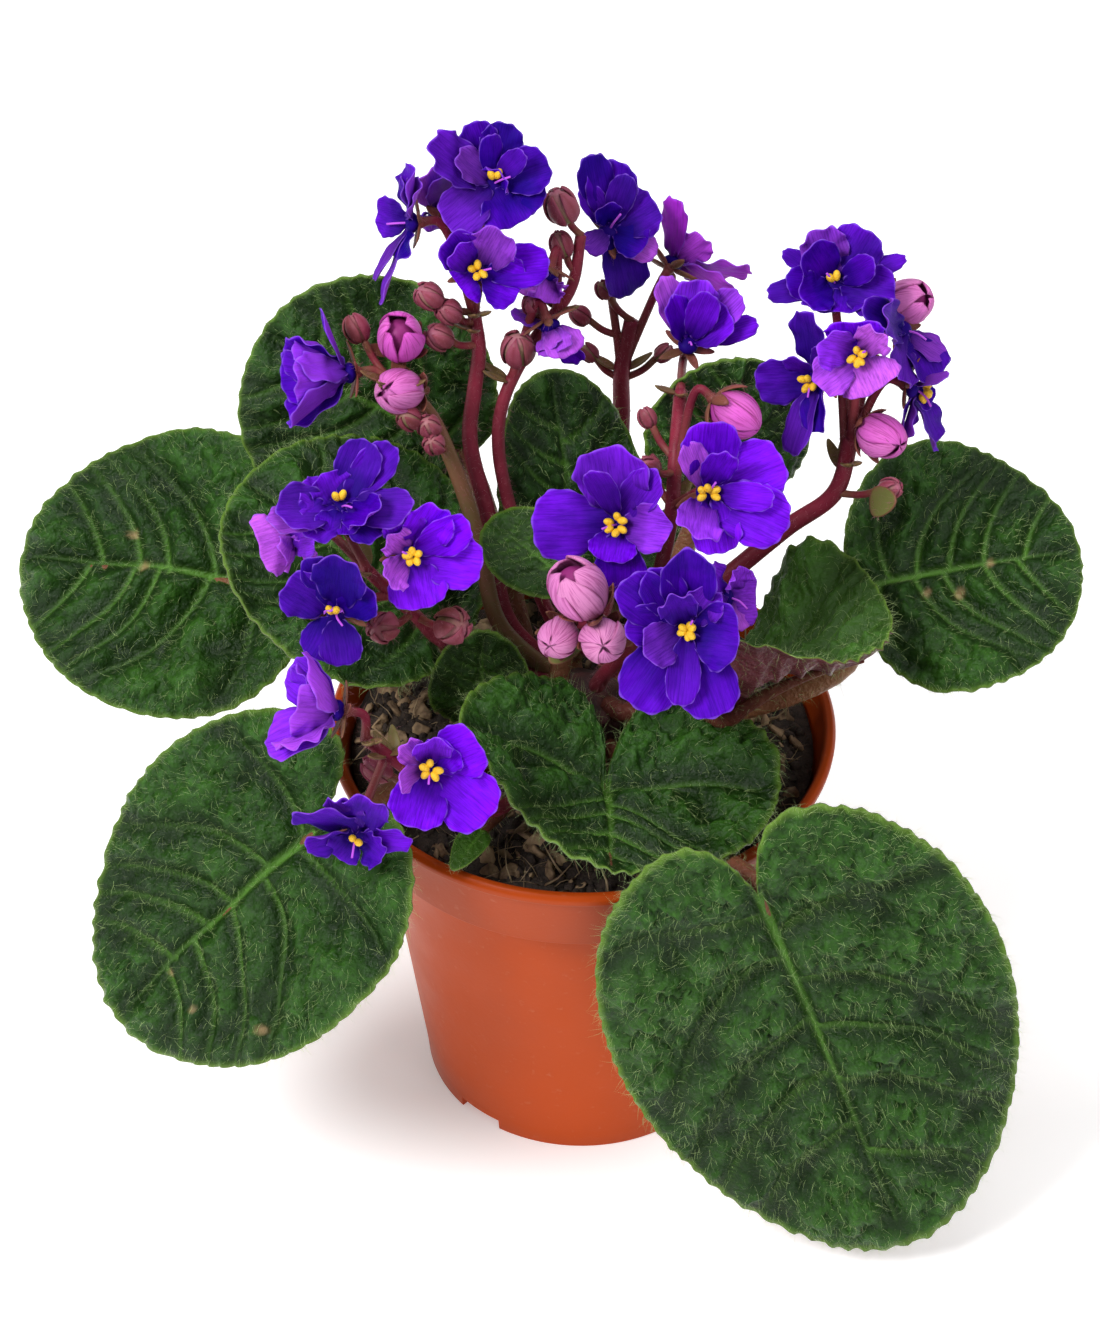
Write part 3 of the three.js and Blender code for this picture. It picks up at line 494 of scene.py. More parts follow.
def egg(middle, way, radius, length, rings=10, sides=14):
    """A closed egg: length is half its long axis. Returns points, faces, share along."""
    way = unit(way)
    side = unit(np.cross(way, UP if abs(way[2]) < 0.9 else vec((1, 0, 0))))
    other = np.cross(way, side)
    turns = np.linspace(0, 2 * math.pi, sides, endpoint=False)
    points = []
    for rise in np.linspace(-math.pi / 2, math.pi / 2, rings + 2)[1:-1]:
        girth = radius * math.cos(rise)
        ring = np.outer(np.cos(turns) * girth, side) + np.outer(np.sin(turns) * girth, other)
        points.append(middle + way * length * math.sin(rise) + ring)
    points = np.concatenate([*points, [middle - way * length, middle + way * length]])
    share = np.concatenate([np.repeat(np.linspace(0, 1, rings), sides), [0, 1]])
    return points, ringed_faces(rings, sides), share


def sheet(grid, origin, along, up, length, width, taper=0.0, bend=0.0, cup=0.0, notch=0.0,
          ruffle=0.0, waves=5, phase=0.0, thickness=0.35, fold=0.0, crinkle=0.0):
    """A closed thin sheet that starts at origin and runs along, curling by bend degrees towards up.

    Returns its points, faces and what is known of each point: its reach from the sheet's middle, its share
    along the sheet, its share across, and 1 on the upper face or 0 on the lower.
    """
    reach, turn, faces = grid
    up = unit(up - along * up.dot(along))
    across = np.cross(up, along)
    dent = notch * np.exp(-((np.minimum(turn, 2 * math.pi - turn) / 0.35) ** 2))
    reach = reach * (1 + crinkle * np.sin(13 * turn + 3 * phase) * reach ** 6)
    x = (0.5 + 0.5 * reach * (np.cos(turn) - dent)) * length
    y = width / 2 * np.sin(turn) * (1 + taper * np.cos(turn)) * reach
    angle = math.radians(bend) if abs(bend) > 0.01 else 1e-4
    alpha = angle * x / length
    run = length * np.sin(alpha) / angle
    climb = length * (1 - np.cos(alpha)) / angle
    share_across = y / (width / 2)
    height = cup * width / 2 * share_across ** 2 + fold * np.abs(y)
    height = height + ruffle * np.sin(waves * turn + phase) * reach ** 3
    points = []
    for side in (1, -1):
        thick = side * thickness / 2 * (1 - 0.5 * reach ** 6)
        lift = height + thick
        points.append(
            origin + np.outer(run - np.sin(alpha) * lift, along) + np.outer(y, across)
            + np.outer(climb + np.cos(alpha) * lift, up))
    known = {
        "rim": np.tile(reach, 2), "along": np.tile(x / length, 2), "across": np.tile(share_across, 2),
        "face": np.repeat([1.0, 0.0], len(reach)),
    }
    return np.concatenate(points), faces, known


# ---- materials ------------------------------------------------------------------------------------------
class Wiring:
    """Makes the nodes of self.tree, each with its settings, and its inputs given a value or a link."""

    def node(self, kind, inputs=(), **settings):
        made = self.tree.nodes.new(kind)
        for setting, value in settings.items():
            setattr(made, setting, value)
        for socket, value in dict(inputs).items():
            self.give(made.inputs[socket], value)
        return made.outputs

    def give(self, socket, value):
        if isinstance(value, bpy.types.NodeSocket):
            self.tree.links.new(value, socket)
        else:
            socket.default_value = value


class Graph(Wiring):
    """A material's node tree, written the short way."""

    def __init__(self, name):
        self.material = bpy.data.materials.new(name)
        self.material.use_nodes = True
        self.tree = self.material.node_tree
        self.surface = self.tree.nodes["Principled BSDF"]

    def place(self):
        return self.node("ShaderNodeTexCoord")["Object"]

    def channel(self, name):
        return self.node("ShaderNodeAttribute", attribute_name=name)["Fac"]

    def noise(self, scale, detail=3.0, where=None, roughness=0.55):
        inputs = {"Scale": scale, "Detail": detail, "Roughness": roughness,
                  "Vector": where if where is not None else self.place()}
        return self.node("ShaderNodeTexNoise", inputs)["Fac"]

    def math(self, operation, a, b=0.0, clamp=False):
        return self.node("ShaderNodeMath", {0: a, 1: b}, operation=operation, use_clamp=clamp)[0]

    def spread(self, value, low, high, to_low=0.0, to_high=1.0):
        inputs = {0: value, 1: low, 2: high, 3: to_low, 4: to_high}
        return self.node("ShaderNodeMapRange", inputs, clamp=True)[0]

    def mix(self, share, a, b):
        return self.node("ShaderNodeMix", {0: share, 6: a, 7: b}, data_type="RGBA")[2]

    def join(self, x, y, z=0.0):
        return self.node("ShaderNodeCombineXYZ", {0: x, 1: y, 2: z})[0]

    def bump(self, height, depth, strength=1.0):
        inputs = {"Height": height, "Distance": depth, "Strength": strength}
        return self.node("ShaderNodeBump", inputs)["Normal"]

    def finish(self, **inputs):
        for socket, value in inputs.items():
            self.give(self.surface.inputs[socket.replace("_", " ")], value)
        return self.material


def shade(colour, factor):
    return tuple(c * factor for c in colour[:3]) + (1.0,)


def leaf_material(name, dark, light, vein, rim):
    """Blotched green with pale veins and rim, painted shade in the creases, painted highlights on the puffs,
    a partly burgundy back, tan scars and a brown-red stalk.
    """
    g = Graph(name)
    blotch = g.spread(g.noise(70, 4), 0.35, 0.65)
    fine = g.spread(g.noise(700, 3), 0.3, 0.7)
    puff = g.channel("puff")
    green = g.mix(blotch, (*dark, 1), (*light, 1))
    # Painted shade: darker in the creases round the veins, where puff is low.
    green = g.mix(g.math("MULTIPLY", g.math("SUBTRACT", 1.0, puff), 0.85), green, shade(dark, 0.25))
    # Painted highlight: a lighter speckle on the tops of the puffs.
    green = g.mix(g.math("MULTIPLY", g.math("MULTIPLY", fine, puff), 0.8), green, shade(light, 2.0))
    green = g.mix(g.channel("vein"), green, (*vein, 1))
    green = g.mix(g.channel("rim"), green, (*rim, 1))
    patch = g.spread(g.noise(60, 3), 0.3, 0.7)
    red = g.mix(patch, (0.045, 0.008, 0.013, 1), (0.11, 0.02, 0.028, 1))
    stain = g.math("ADD", g.spread(g.noise(45, 4), 0.32, 0.75), g.channel("burgundy"))
    stain = g.spread(g.math("ADD", stain, g.channel("burgundy")), 1.0, 2.0)
    back = g.mix(stain, (0.12, 0.21, 0.07, 1), red)
    green = g.mix(g.channel("under"), green, back)
    stalk = g.mix(g.channel("burgundy"), (0.27, 0.13, 0.05, 1), (0.085, 0.016, 0.014, 1))
    green = g.mix(g.channel("stalk"), green, g.mix(patch, stalk, (0.16, 0.05, 0.03, 1)))
    green = g.mix(g.math("MULTIPLY", g.channel("scar"), 0.7), green, (0.36, 0.24, 0.12, 1))
    return g.finish(
        Base_Color=green, Roughness=g.spread(fine, 0, 1, 0.3, 0.42), Specular_IOR_Level=0.2,
        Normal=g.bump(g.noise(800, 4), 0.0009, 0.9))


def petal_material(name, deep, bright, pale, edge):
    """Streaked violet, lighter outwards, with painted shade in the throat, pale edges, backs and pink petals.
    """
    g = Graph(name)
    along, across, tone = g.channel("along"), g.channel("across"), g.channel("tone")
    # glow, each flower's lightness, is partly its own shade of violet and partly painted shade where it lies
    # in shadow.
    light = g.math("ADD", g.channel("glow"), g.spread(g.noise(110, 3), 0.35, 0.65, -0.12, 0.2))
    light = g.math("ADD", light, g.spread(along, 0.3, 1.0, -0.1, 0.12), True)
    light = g.math("POWER", light, 1.35)
    base = g.mix(light, (*deep, 1), (*bright, 1))
    base = g.mix(g.spread(g.channel("glow"), 1.0, 2.0), base, (0.42, 0.0, 0.42, 1))
    base = g.mix(g.math("POWER", tone, 1.4), base, (*pale, 1))
    streaks = g.join(g.math("MULTIPLY", across, 9.0), g.math("MULTIPLY", along, 1.6), g.channel("own"))
    fine = g.spread(g.noise(1.6, 4, streaks, 0.65), 0.42, 0.68)
    base = g.mix(g.math("MULTIPLY", fine, 0.5), base, shade(deep, 0.5))
    back = g.math("SUBTRACT", 1.0, g.channel("face"))
    base = g.mix(g.math("MULTIPLY", back, 0.22), base, (*pale, 1))
    # Painted shade deep in the throat.
    throat = g.spread(along, 0.0, 0.55, 0.85, 0.0)
    base = g.mix(throat, base, shade(deep, 0.5))
    border = g.spread(g.channel("rim"), 0.96, 1.0, 0.0, 0.45)
    base = g.mix(border, base, (*edge, 1))
    return g.finish(
        Base_Color=base, Roughness=0.5, Specular_IOR_Level=0.04,
        Normal=g.bump(g.noise(3.0, 4, streaks, 0.6), 0.0004, 0.5))


def stalk_material(name, red, green):
    """Burgundy that is greener on scales and bracts and pinker on the small buds."""
    g = Graph(name)
    patch = g.spread(g.noise(90, 3), 0.3, 0.7)
    flesh = g.mix(patch, (*red, 1), shade(red, 1.8))
    flesh = g.mix(g.math("MULTIPLY", g.channel("green"), g.spread(patch, 0, 1, 1, 0.6)), flesh, (*green, 1))
    flesh = g.mix(g.math("MULTIPLY", g.channel("pink"), patch), flesh, (0.40, 0.12, 0.19, 1))
    flesh = g.mix(g.spread(g.noise(900, 2), 0.55, 0.75, 0, 0.25), flesh, (0.3, 0.08, 0.1, 1))
    return g.finish(
        Base_Color=flesh, Roughness=0.42, Specular_IOR_Level=0.15,
        Normal=g.bump(g.noise(1200, 3), 0.0002, 0.5))


def bud_material(name, pale, pink, line):
    """Pale folded petals, veined and edged in burgundy, pinker and greener towards the calyx."""
    g = Graph(name)
    along, across = g.channel("along"), g.channel("across")
    flesh = g.mix(g.channel("tone"), (*pale, 1), (*pink, 1))
    streaks = g.join(g.math("MULTIPLY", across, 6.0), g.math("MULTIPLY", along, 1.2), g.channel("own"))
    veins = g.spread(g.noise(1.8, 3, streaks, 0.6), 0.5, 0.62)
    flesh = g.mix(g.math("MULTIPLY", veins, 0.6), flesh, (0.30, 0.03, 0.17, 1))
    flesh = g.mix(g.spread(along, 0.45, 0.0, 0.0, 0.7), flesh, shade(line, 0.8))
    border = g.spread(g.channel("rim"), 0.9, 1.0, 0.0, 0.6)
    before_tip = g.spread(along, 0.7, 0.95, 1, 0.15)
    flesh = g.mix(g.math("MULTIPLY", border, before_tip), flesh, (*line, 1))
    return g.finish(
        Base_Color=flesh, Roughness=0.45, Specular_IOR_Level=0.12,
        Normal=g.bump(g.noise(3.0, 3, streaks, 0.6), 0.0003, 0.5))


def plain_grain(name, low, high, scale, roughness, depth, **more):
    """One tone speckled into another, with a fine grain: peat, anthers, hairs, the crown."""
    g = Graph(name)
    tone = g.mix(g.spread(g.noise(scale, 4), 0.32, 0.68), (*low, 1), (*high, 1))
    return g.finish(Base_Color=tone, Roughness=roughness, Normal=g.bump(g.noise(scale * 3, 3), depth), **more)


def pot_material(colour):
    """Clouded terracotta with dust and a faint mould grain, the collar a little darker with painted shade."""
    g = Graph("moulded_terracotta_plastic")
    cloud = g.spread(g.noise(18, 4), 0.3, 0.7)
    tone = g.mix(cloud, shade(colour, 0.92), shade(colour, 1.08))
    # Painted shade: the collar, above COLLAR_BASE, a little darker.
    height = g.node("ShaderNodeSeparateXYZ", {0: g.place()})[2]
    collar = g.spread(height, (COLLAR_BASE - 0.5) * MM, (COLLAR_BASE + 0.5) * MM)
    tone = g.mix(collar, tone, shade(colour, 0.8))
    dust = g.spread(g.noise(420, 5), 0.62, 0.78, 0, 0.18)
    tone = g.mix(dust, tone, (0.6, 0.33, 0.22, 1))
    return g.finish(
        Base_Color=tone, Roughness=g.spread(g.noise(60, 4), 0.3, 0.7, 0.32, 0.45), Specular_IOR_Level=0.1,
        Normal=g.bump(g.noise(900, 3), 0.00006, 0.5))


# ---- node trees for what repeats ------------------------------------------------------------------------
class Tree(Wiring):
    """A Geometry Nodes tree with named inputs, written the short way."""

    def __init__(self, name, inputs):
        self.tree = bpy.data.node_groups.new(name, "GeometryNodeTree")
        self.tree.interface.new_socket("Geometry", in_out="INPUT", socket_type="NodeSocketGeometry")
        self.tree.interface.new_socket("Geometry", in_out="OUTPUT", socket_type="NodeSocketGeometry")
        for label, kind in inputs:
            self.tree.interface.new_socket(label, in_out="INPUT", socket_type=f"NodeSocket{kind}")
        self.given = self.tree.nodes.new("NodeGroupInput").outputs
        self.out = self.tree.nodes.new("NodeGroupOutput")

    def vector(self, operation, a, b):
        key = "Scale" if operation == "SCALE" else 1
        return self.node("ShaderNodeVectorMath", {0: a, key: b}, operation=operation)[0]

    def number(self, operation, a, b):
        return self.node("ShaderNodeMath", {0: a, 1: b}, operation=operation)[0]

    def random(self, low, high, seed, kind="FLOAT"):
        """A random number or vector for each point, from low to high."""
        made = self.tree.nodes.new("FunctionNodeRandomValue")
        made.data_type = kind
        sockets = [s for s in made.inputs if s.enabled]
        for socket, value in zip(sockets[:2], (low, high)):
            self.give(socket, value)
        self.give(made.inputs["Seed"], seed)
        return next(s for s in made.outputs if s.enabled)

    def finish(self, geometry):
        real = self.node("GeometryNodeRealizeInstances", {"Geometry": geometry})[0]
        done = self.node("GeometryNodeSetMaterial", {"Geometry": real, "Material": self.given["Material"]})[0]
        self.tree.links.new(done, self.out.inputs["Geometry"])
        return self.tree


def hair_tree():
    """Bent tapering hairs standing on a surface: Stand sets how upright, Stray how untidy they are."""
    t = Tree("surface_hairs", [
        ("Density", "Float"), ("Length", "Float"), ("Thickness", "Float"), ("Stand", "Float"),
        ("Stray", "Float"), ("Bend", "Float"), ("Seed", "Int"), ("Material", "Material")])
    given = t.given
    fuzz = t.node("GeometryNodeInputNamedAttribute", {"Name": "fuzz"}, data_type="FLOAT")[0]
    comb = t.node("GeometryNodeInputNamedAttribute", {"Name": "comb"}, data_type="FLOAT_VECTOR")[0]
    density = t.number("MULTIPLY", given["Density"], fuzz)
    spots = t.node("GeometryNodeDistributePointsOnFaces", {
        "Mesh": given["Geometry"], "Density": density, "Seed": given["Seed"]})
    stray = t.random((-1, -1, -1), (1, 1, 1), given["Seed"], "FLOAT_VECTOR")
    way = t.vector("ADD", t.vector("SCALE", spots["Normal"], given["Stand"]), comb)
    way = t.vector("ADD", way, t.vector("SCALE", stray, given["Stray"]))
    aim = t.node("FunctionNodeAlignRotationToVector", {"Vector": way}, axis="Z")[0]
    turn = t.random(0.0, 2 * math.pi, given["Seed"])
    spin = t.node("FunctionNodeAxisAngleToRotation", {"Axis": (0, 0, 1), "Angle": turn})[0]
    aim = t.node(
        "FunctionNodeRotateRotation", {"Rotation": aim, "Rotate By": spin}, rotation_space="LOCAL")[0]
    cone = t.node("GeometryNodeMeshCone", {
        "Vertices": 3, "Side Segments": 3, "Radius Top": 0.0, "Radius Bottom": given["Thickness"],
        "Depth": given["Length"]})["Mesh"]
    place = t.node("GeometryNodeInputPosition")[0]
    height = t.node("ShaderNodeSeparateXYZ", {0: place})[2]
    rise = t.number("DIVIDE", height, given["Length"])
    sway = t.number("MULTIPLY", t.number("MULTIPLY", rise, rise), given["Bend"])
    offset = t.node("ShaderNodeCombineXYZ", {0: t.number("MULTIPLY", sway, given["Length"])})[0]
    hair = t.node("GeometryNodeSetPosition", {"Geometry": cone, "Offset": offset})[0]
    size = t.random(0.45, 1.15, given["Seed"])
    placed = t.node("GeometryNodeInstanceOnPoints", {
        "Points": spots["Points"], "Instance": hair, "Rotation": aim, "Scale": size})[0]
    return t.finish(placed)


def crumb_tree():
    """Rough lumps scattered over a surface, each a ball of few faces pushed out of shape."""
    t = Tree("surface_crumbs", [
        ("Density", "Float"), ("Size", "Float"), ("Flatness", "Float"), ("Seed", "Int"),
        ("Material", "Material")])
    given = t.given
    fuzz = t.node("GeometryNodeInputNamedAttribute", {"Name": "fuzz"}, data_type="FLOAT")[0]
    density = t.number("MULTIPLY", given["Density"], fuzz)
    spots = t.node("GeometryNodeDistributePointsOnFaces", {
        "Mesh": given["Geometry"], "Density": density, "Seed": given["Seed"]})
    ball = t.node("GeometryNodeMeshIcoSphere", {"Radius": given["Size"], "Subdivisions": 2})["Mesh"]
    aim = t.random((-3, -3, -3), (3, 3, 3), given["Seed"], "FLOAT_VECTOR")
    size = t.random(0.25, 1.0, given["Seed"])
    flat = t.node("ShaderNodeCombineXYZ", {
        0: size, 1: size, 2: t.number("MULTIPLY", size, given["Flatness"])})[0]
    placed = t.node("GeometryNodeInstanceOnPoints", {
        "Points": spots["Points"], "Instance": ball, "Rotation": aim, "Scale": flat})[0]
    real = t.node("GeometryNodeRealizeInstances", {"Geometry": placed})[0]
    rough = t.node("ShaderNodeTexNoise", {"Scale": 450.0, "Detail": 2.0})["Color"]
    push = t.vector("SCALE", t.vector("SUBTRACT", rough, (0.5, 0.5, 0.5)), given["Size"])
    rough = t.node("GeometryNodeSetPosition", {"Geometry": real, "Offset": push})[0]
    return t.finish(rough)


def lobe_tree():
    """Two-lobed anthers: an egg on each point, turned along the point's aim."""
    t = Tree("anther_lobes", [("Length", "Float"), ("Girth", "Float"), ("Material", "Material")])
    given = t.given
    aim = t.node("GeometryNodeInputNamedAttribute", {"Name": "comb"}, data_type="FLOAT_VECTOR")[0]
    turn = t.node("FunctionNodeAlignRotationToVector", {"Vector": aim}, axis="Z")[0]
    ball = t.node("GeometryNodeMeshUVSphere", {"Segments": 10, "Rings": 8, "Radius": 1.0})["Mesh"]
    shape = t.node("ShaderNodeCombineXYZ", {0: given["Girth"], 1: given["Girth"], 2: given["Length"]})[0]
    spots = t.node("GeometryNodeMeshToPoints", {"Mesh": given["Geometry"]})[0]
    placed = t.node("GeometryNodeInstanceOnPoints", {
        "Points": spots, "Instance": ball, "Rotation": turn, "Scale": shape})[0]
    return t.finish(placed)


def drop_hair_values(mesh):
    """Takes off the values that only the trees read, where the mesh has them."""
    for spare in [a.name for a in mesh.attributes if a.name in ("fuzz", "comb")]:
        mesh.attributes.remove(mesh.attributes[spare])


def grown(name, host, tree, **values):
    """Runs a tree on the host and keeps what it makes as a plain mesh of its own."""
    modifier = host.modifiers.new(tree.name, "NODES")
    modifier.node_group = tree
    for item in tree.interface.items_tree:
        if item.item_type == "SOCKET" and item.in_out == "INPUT" and item.name in values:
            modifier[item.identifier] = values[item.name]
    bpy.context.view_layer.update()
    graph = bpy.context.evaluated_depsgraph_get()
    mesh = bpy.data.meshes.new_from_object(host.evaluated_get(graph))
    host.modifiers.remove(modifier)
    if not mesh.polygons:
        raise RuntimeError(f"{name}: the tree {tree.name} made no faces")
    drop_hair_values(mesh)
    mesh.polygons.foreach_set("use_smooth", [True] * len(mesh.polygons))
    mesh.name = name
    return put(name, mesh)


# ---- leaves ---------------------------------------------------------------------------------------------
# MIDRIB, SIDE_VEIN and TWIG_VEIN say how strong a vein is where it starts and where it ends.
BLADE_THICKNESS = 0.9
BLADE_CELLS_PER_MM = 1.35
BLADE_CELLS = (24, 112)
OUTLINE_STEPS = 1440
SCALLOP_PITCH = 4.8
SCALLOP_DEPTH = 0.36
NOTCH_SPREAD = 0.1
NOTCH_DEPTH = 0.9
VEIN_PAIRS = 5
VEIN_WIDTH = 0.85
MIDRIB = (1.4, 0.45)
SIDE_VEIN = (0.95, 0.45)
TWIG_VEIN = (0.45, 0.15)
PUFF_EDGE = 2.6
FINE_CELL = 4.2
BROAD_CELL = 9.5
FULL_WIDTH = 50
RIB_DROP = 1.4
LEAF_STALK_STEPS = 56


def blade_frame(leaf):
    """The blade's joint, the ways along it, across it and up from it, and the length of its midrib."""
    joint = vec(leaf.joint)
    along = vec(leaf.tip) - joint
    length = np.linalg.norm(along)
    along = along / length
    up = facing(*leaf.look)
    up = unit(up - along * up.dot(along))
    return joint, along, np.cross(up, along), up, length


def blade_points(leaf, x, y, lift):
    """The blade's middle surface: x runs along the midrib from the joint and y across, raised by lift."""
    joint, along, across, up, length = blade_frame(leaf)
    half = leaf.width / 2
    share = np.clip(x / length, 0, 1)
    height = leaf.arch * length * 4 * share * (1 - share) + leaf.cup * half * (y / half) ** 2
    height = height + leaf.lift * np.maximum(0, -x) + leaf.twist * x * y / half + lift
    return joint + np.outer(x, along) + np.outer(y, across) + np.outer(height, up)


def outline(leaf, length, turn):
    """The rim of a blade about its middle, before its scallops."""
    back = leaf.lobe * length
    notch = np.exp(-np.abs(turn - math.pi) / NOTCH_SPREAD) * back * NOTCH_DEPTH
    x = (length + back) / 2 * np.cos(turn) + notch
    y = leaf.width / 2 * np.sin(turn) * (1 + leaf.taper * np.cos(turn))
    return x, y


def vein_lines(leaf, length, rng):
    """The midrib and its branches as short straight pieces: their ends and how strong each is."""
    half = leaf.width / 2
    back = leaf.lobe * length
    pieces = []

    def line(points, strong, weak):
        for i in range(len(points) - 1):
            share = i / (len(points) - 1)
            pieces.append((*points[i], *points[i + 1], strong + (weak - strong) * share))

    xs = np.linspace(-0.02 * length, 0.94 * length, 12)
    sway = rng.uniform(-0.02, 0.02) * length
    line([(x, sway * math.sin(math.pi * x / length)) for x in xs], *MIDRIB)
    for side in (1, -1):
        for i in range(VEIN_PAIRS):
            start = length * (0.03 + 0.16 * i + rng.uniform(-0.03, 0.03) + (0.04 if side > 0 else 0))
            from_middle = (start - (length - back) / 2) / ((length + back) / 2)
            room = half * 0.9 * math.sqrt(max(0.05, 1 - from_middle ** 2))
            ahead = (0.12 + 0.05 * i + rng.uniform(-0.05, 0.05)) * room
            bow = (0.8 - 0.06 * i + rng.uniform(-0.1, 0.1)) * room
            if i == 0:
                ahead, bow = -0.35 * back - 2, 0.3 * room
            steps = np.linspace(0, 1, 9)
            points = [(start + ahead * s + bow * s ** 2.3, side * room * s) for s in steps]
            line(points, *SIDE_VEIN)
            for j, s in enumerate((3, 5, 7)):
                x, y = points[s]
                grow = (0.22 + 0.05 * rng.random()) * room
                way = math.radians(70 - 12 * i + rng.uniform(-10, 10)) * side
                if j % 2:
                    way = math.radians(8 + rng.uniform(-10, 10)) * side
                ends = [(x + grow * q * math.cos(way), y + grow * q * math.sin(way)) for q in (0, 0.5, 1)]
                line(ends, *TWIG_VEIN)
    return np.array(pieces)


def vein_depth(x, y, pieces, width):
    """How deep in a vein each point is, 0 to 1, and its distance to the nearest vein."""
    best = np.zeros_like(x)
    near = np.full_like(x, 1e9)
    for ax, ay, bx, by, strength in pieces:
        dx, dy = bx - ax, by - ay
        t = np.clip(((x - ax) * dx + (y - ay) * dy) / (dx * dx + dy * dy), 0, 1)
        away = np.hypot(x - ax - t * dx, y - ay - t * dy)
        best = np.maximum(best, strength * np.exp(-((away / (width * (0.5 + 0.5 * strength))) ** 2)))
        near = np.minimum(near, away)
    return best, near


def cells(x, y, size, seed):
    """Distances to the nearest and the second nearest of scattered points, one to a cell."""
    first = np.full_like(x, 1e9)
    second = np.full_like(x, 1e9)
    home_x, home_y = np.floor(x / size), np.floor(y / size)
    for i in (-1, 0, 1):
        for j in (-1, 0, 1):
            cx, cy = home_x + i, home_y + j
            jitter = np.sin(cx * 127.1 + cy * 311.7 + seed) * 43758.5453
            other = np.sin(cx * 269.5 + cy * 183.3 + seed) * 24634.6345
            px = (cx + 0.15 + 0.7 * (jitter - np.floor(jitter))) * size
            py = (cy + 0.15 + 0.7 * (other - np.floor(other))) * size
            away = np.hypot(x - px, y - py)
            second = np.where(away < first, first, np.minimum(second, away))
            first = np.minimum(first, away)
    return first, second


def scalloped(leaf, length, small, reach, turn, seed):
    """Where each point lies on the blade's flat plan, and how far round its scallops it is."""
    around = np.linspace(0, 2 * math.pi, OUTLINE_STEPS + 1)
    rim_x, rim_y = outline(leaf, length, around)
    walked = np.concatenate([[0], np.cumsum(np.hypot(np.diff(rim_x), np.diff(rim_y)))])
    pitch = SCALLOP_PITCH * (0.55 + 0.45 * small)
    teeth = max(8, round(walked[-1] / pitch))
    phase = np.interp(turn, around, walked) / walked[-1] * teeth * math.pi
    phase = phase + 0.9 * np.sin(5 * turn + seed) + 0.6 * np.sin(9 * turn + 3 * seed)
    uneven = 1 + 0.35 * np.sin(3 * turn + seed) * np.cos(5 * turn + 2 * seed)
    tooth = (np.abs(np.sin(phase)) ** 0.7 - 0.6) * SCALLOP_DEPTH * small * uneven
    x0, y0 = outline(leaf, length, turn)
    grow = 1 + tooth / np.hypot(x0, y0).clip(4) * reach ** 9
    return (length - leaf.lobe * length) / 2 + x0 * reach * grow, y0 * reach * grow, phase


def quilting(x, y, small, seed):
    """How high each point is on the blade's fine and on its broad cells, 0 in the creases to 1 on top."""
    warp_x = x + 1.3 * np.sin(y * 0.9 + seed) + 0.7 * np.sin(y * 2.1 + x)
    warp_y = y + 1.3 * np.sin(x * 0.8 + 2 * seed) + 0.7 * np.sin(x * 1.9 - y)
    first, second = cells(warp_x, warp_y, FINE_CELL * (0.5 + 0.5 * small), seed * 1.7)
    dome = 1 - np.exp(-(((second - first) / 1.3) ** 2))
    first, second = cells(warp_x + 2, warp_y, BROAD_CELL * (0.5 + 0.5 * small), seed * 2.3)
    swell = 1 - np.exp(-(((second - first) / 3.2) ** 2))
    return dome, swell


def add_blade(flesh, name, leaf, seed):
    """The blade: a closed sheet with scallops, sunken veins and quilted cells."""
    _, along, across, _, length = blade_frame(leaf)
    rng = np.random.default_rng(seed)
    small = min(1.0, leaf.width / FULL_WIDTH)
    reach, turn, faces = disc_grid(int(np.clip(leaf.width * BLADE_CELLS_PER_MM, *BLADE_CELLS)))
    x, y, phase = scalloped(leaf, length, small, reach, turn, seed)
    pieces = vein_lines(leaf, length, rng)
    groove, near = vein_depth(x, y, pieces, VEIN_WIDTH * (0.5 + 0.5 * small))
    dome, swell = quilting(x, y, small, seed)
    puff = 1 - np.exp(-((near / (PUFF_EDGE * small + 0.6)) ** 2))
    soft = np.clip((1 - reach) * 6, 0, 1)
    wave = np.sin(x * 0.21 + seed) * np.cos(y * 0.17 + 2 * seed)
    sunk = np.clip(groove, 0, 1)
    relief = (puff * (1.3 + 0.9 * dome + 2.3 * swell) - sunk * 1.1 + wave * 1.5) * small
    relief = relief * (0.25 + 0.75 * soft)
    relief = relief + 0.5 * small * np.sin(phase * 2) * reach ** 10
    relief = relief + 0.9 * small * np.sin(4 * turn + seed) * reach ** 4
    thick = BLADE_THICKNESS / 2 * (0.55 + 0.45 * small) * (1 - 0.45 * reach ** 8)
    points = np.concatenate([blade_points(leaf, x, y, relief + side * thick) for side in (1, -1)])
    vein = np.maximum(np.clip(groove ** 2.4, 0, 1) * 0.8, YOUNG.get(name, 0))
    scar = np.zeros(len(x))
    for spot_x, spot_y, size in SCARS.get(name, ()):
        scar = np.maximum(scar, np.exp(-(((x - spot_x) ** 2 + (y - spot_y) ** 2) / size ** 2) ** 2))
    rim = np.clip((reach - 0.972) / 0.025, 0, 1)
    outward = np.outer(x, along) + np.outer(y, across)
    outward /= np.linalg.norm(outward, axis=1)[:, None].clip(1)
    comb = outward * (0.6 + 0.9 * (reach ** 12))[:, None]
    top_fuzz = 1.0 + 1.6 * np.clip((reach - 0.93) / 0.05, 0, 1)
    # puff, how high each point sits on its quilting between the veins, is the mask of the painted shade and
    # highlights.
    flesh.add(
        points, faces,
        vein=np.concatenate([vein, vein * 0.6]), rim=np.concatenate([rim, rim]) * 0.85,
        under=np.repeat([0.0, 1.0], len(x)), puff=np.tile(puff * (0.3 + 0.3 * dome + 0.4 * swell), 2),
        stalk=0.0, burgundy=leaf.burgundy, scar=np.tile(scar, 2),
        fuzz=np.concatenate([top_fuzz, top_fuzz * 0.35]), comb=np.tile(comb, (2, 1)))


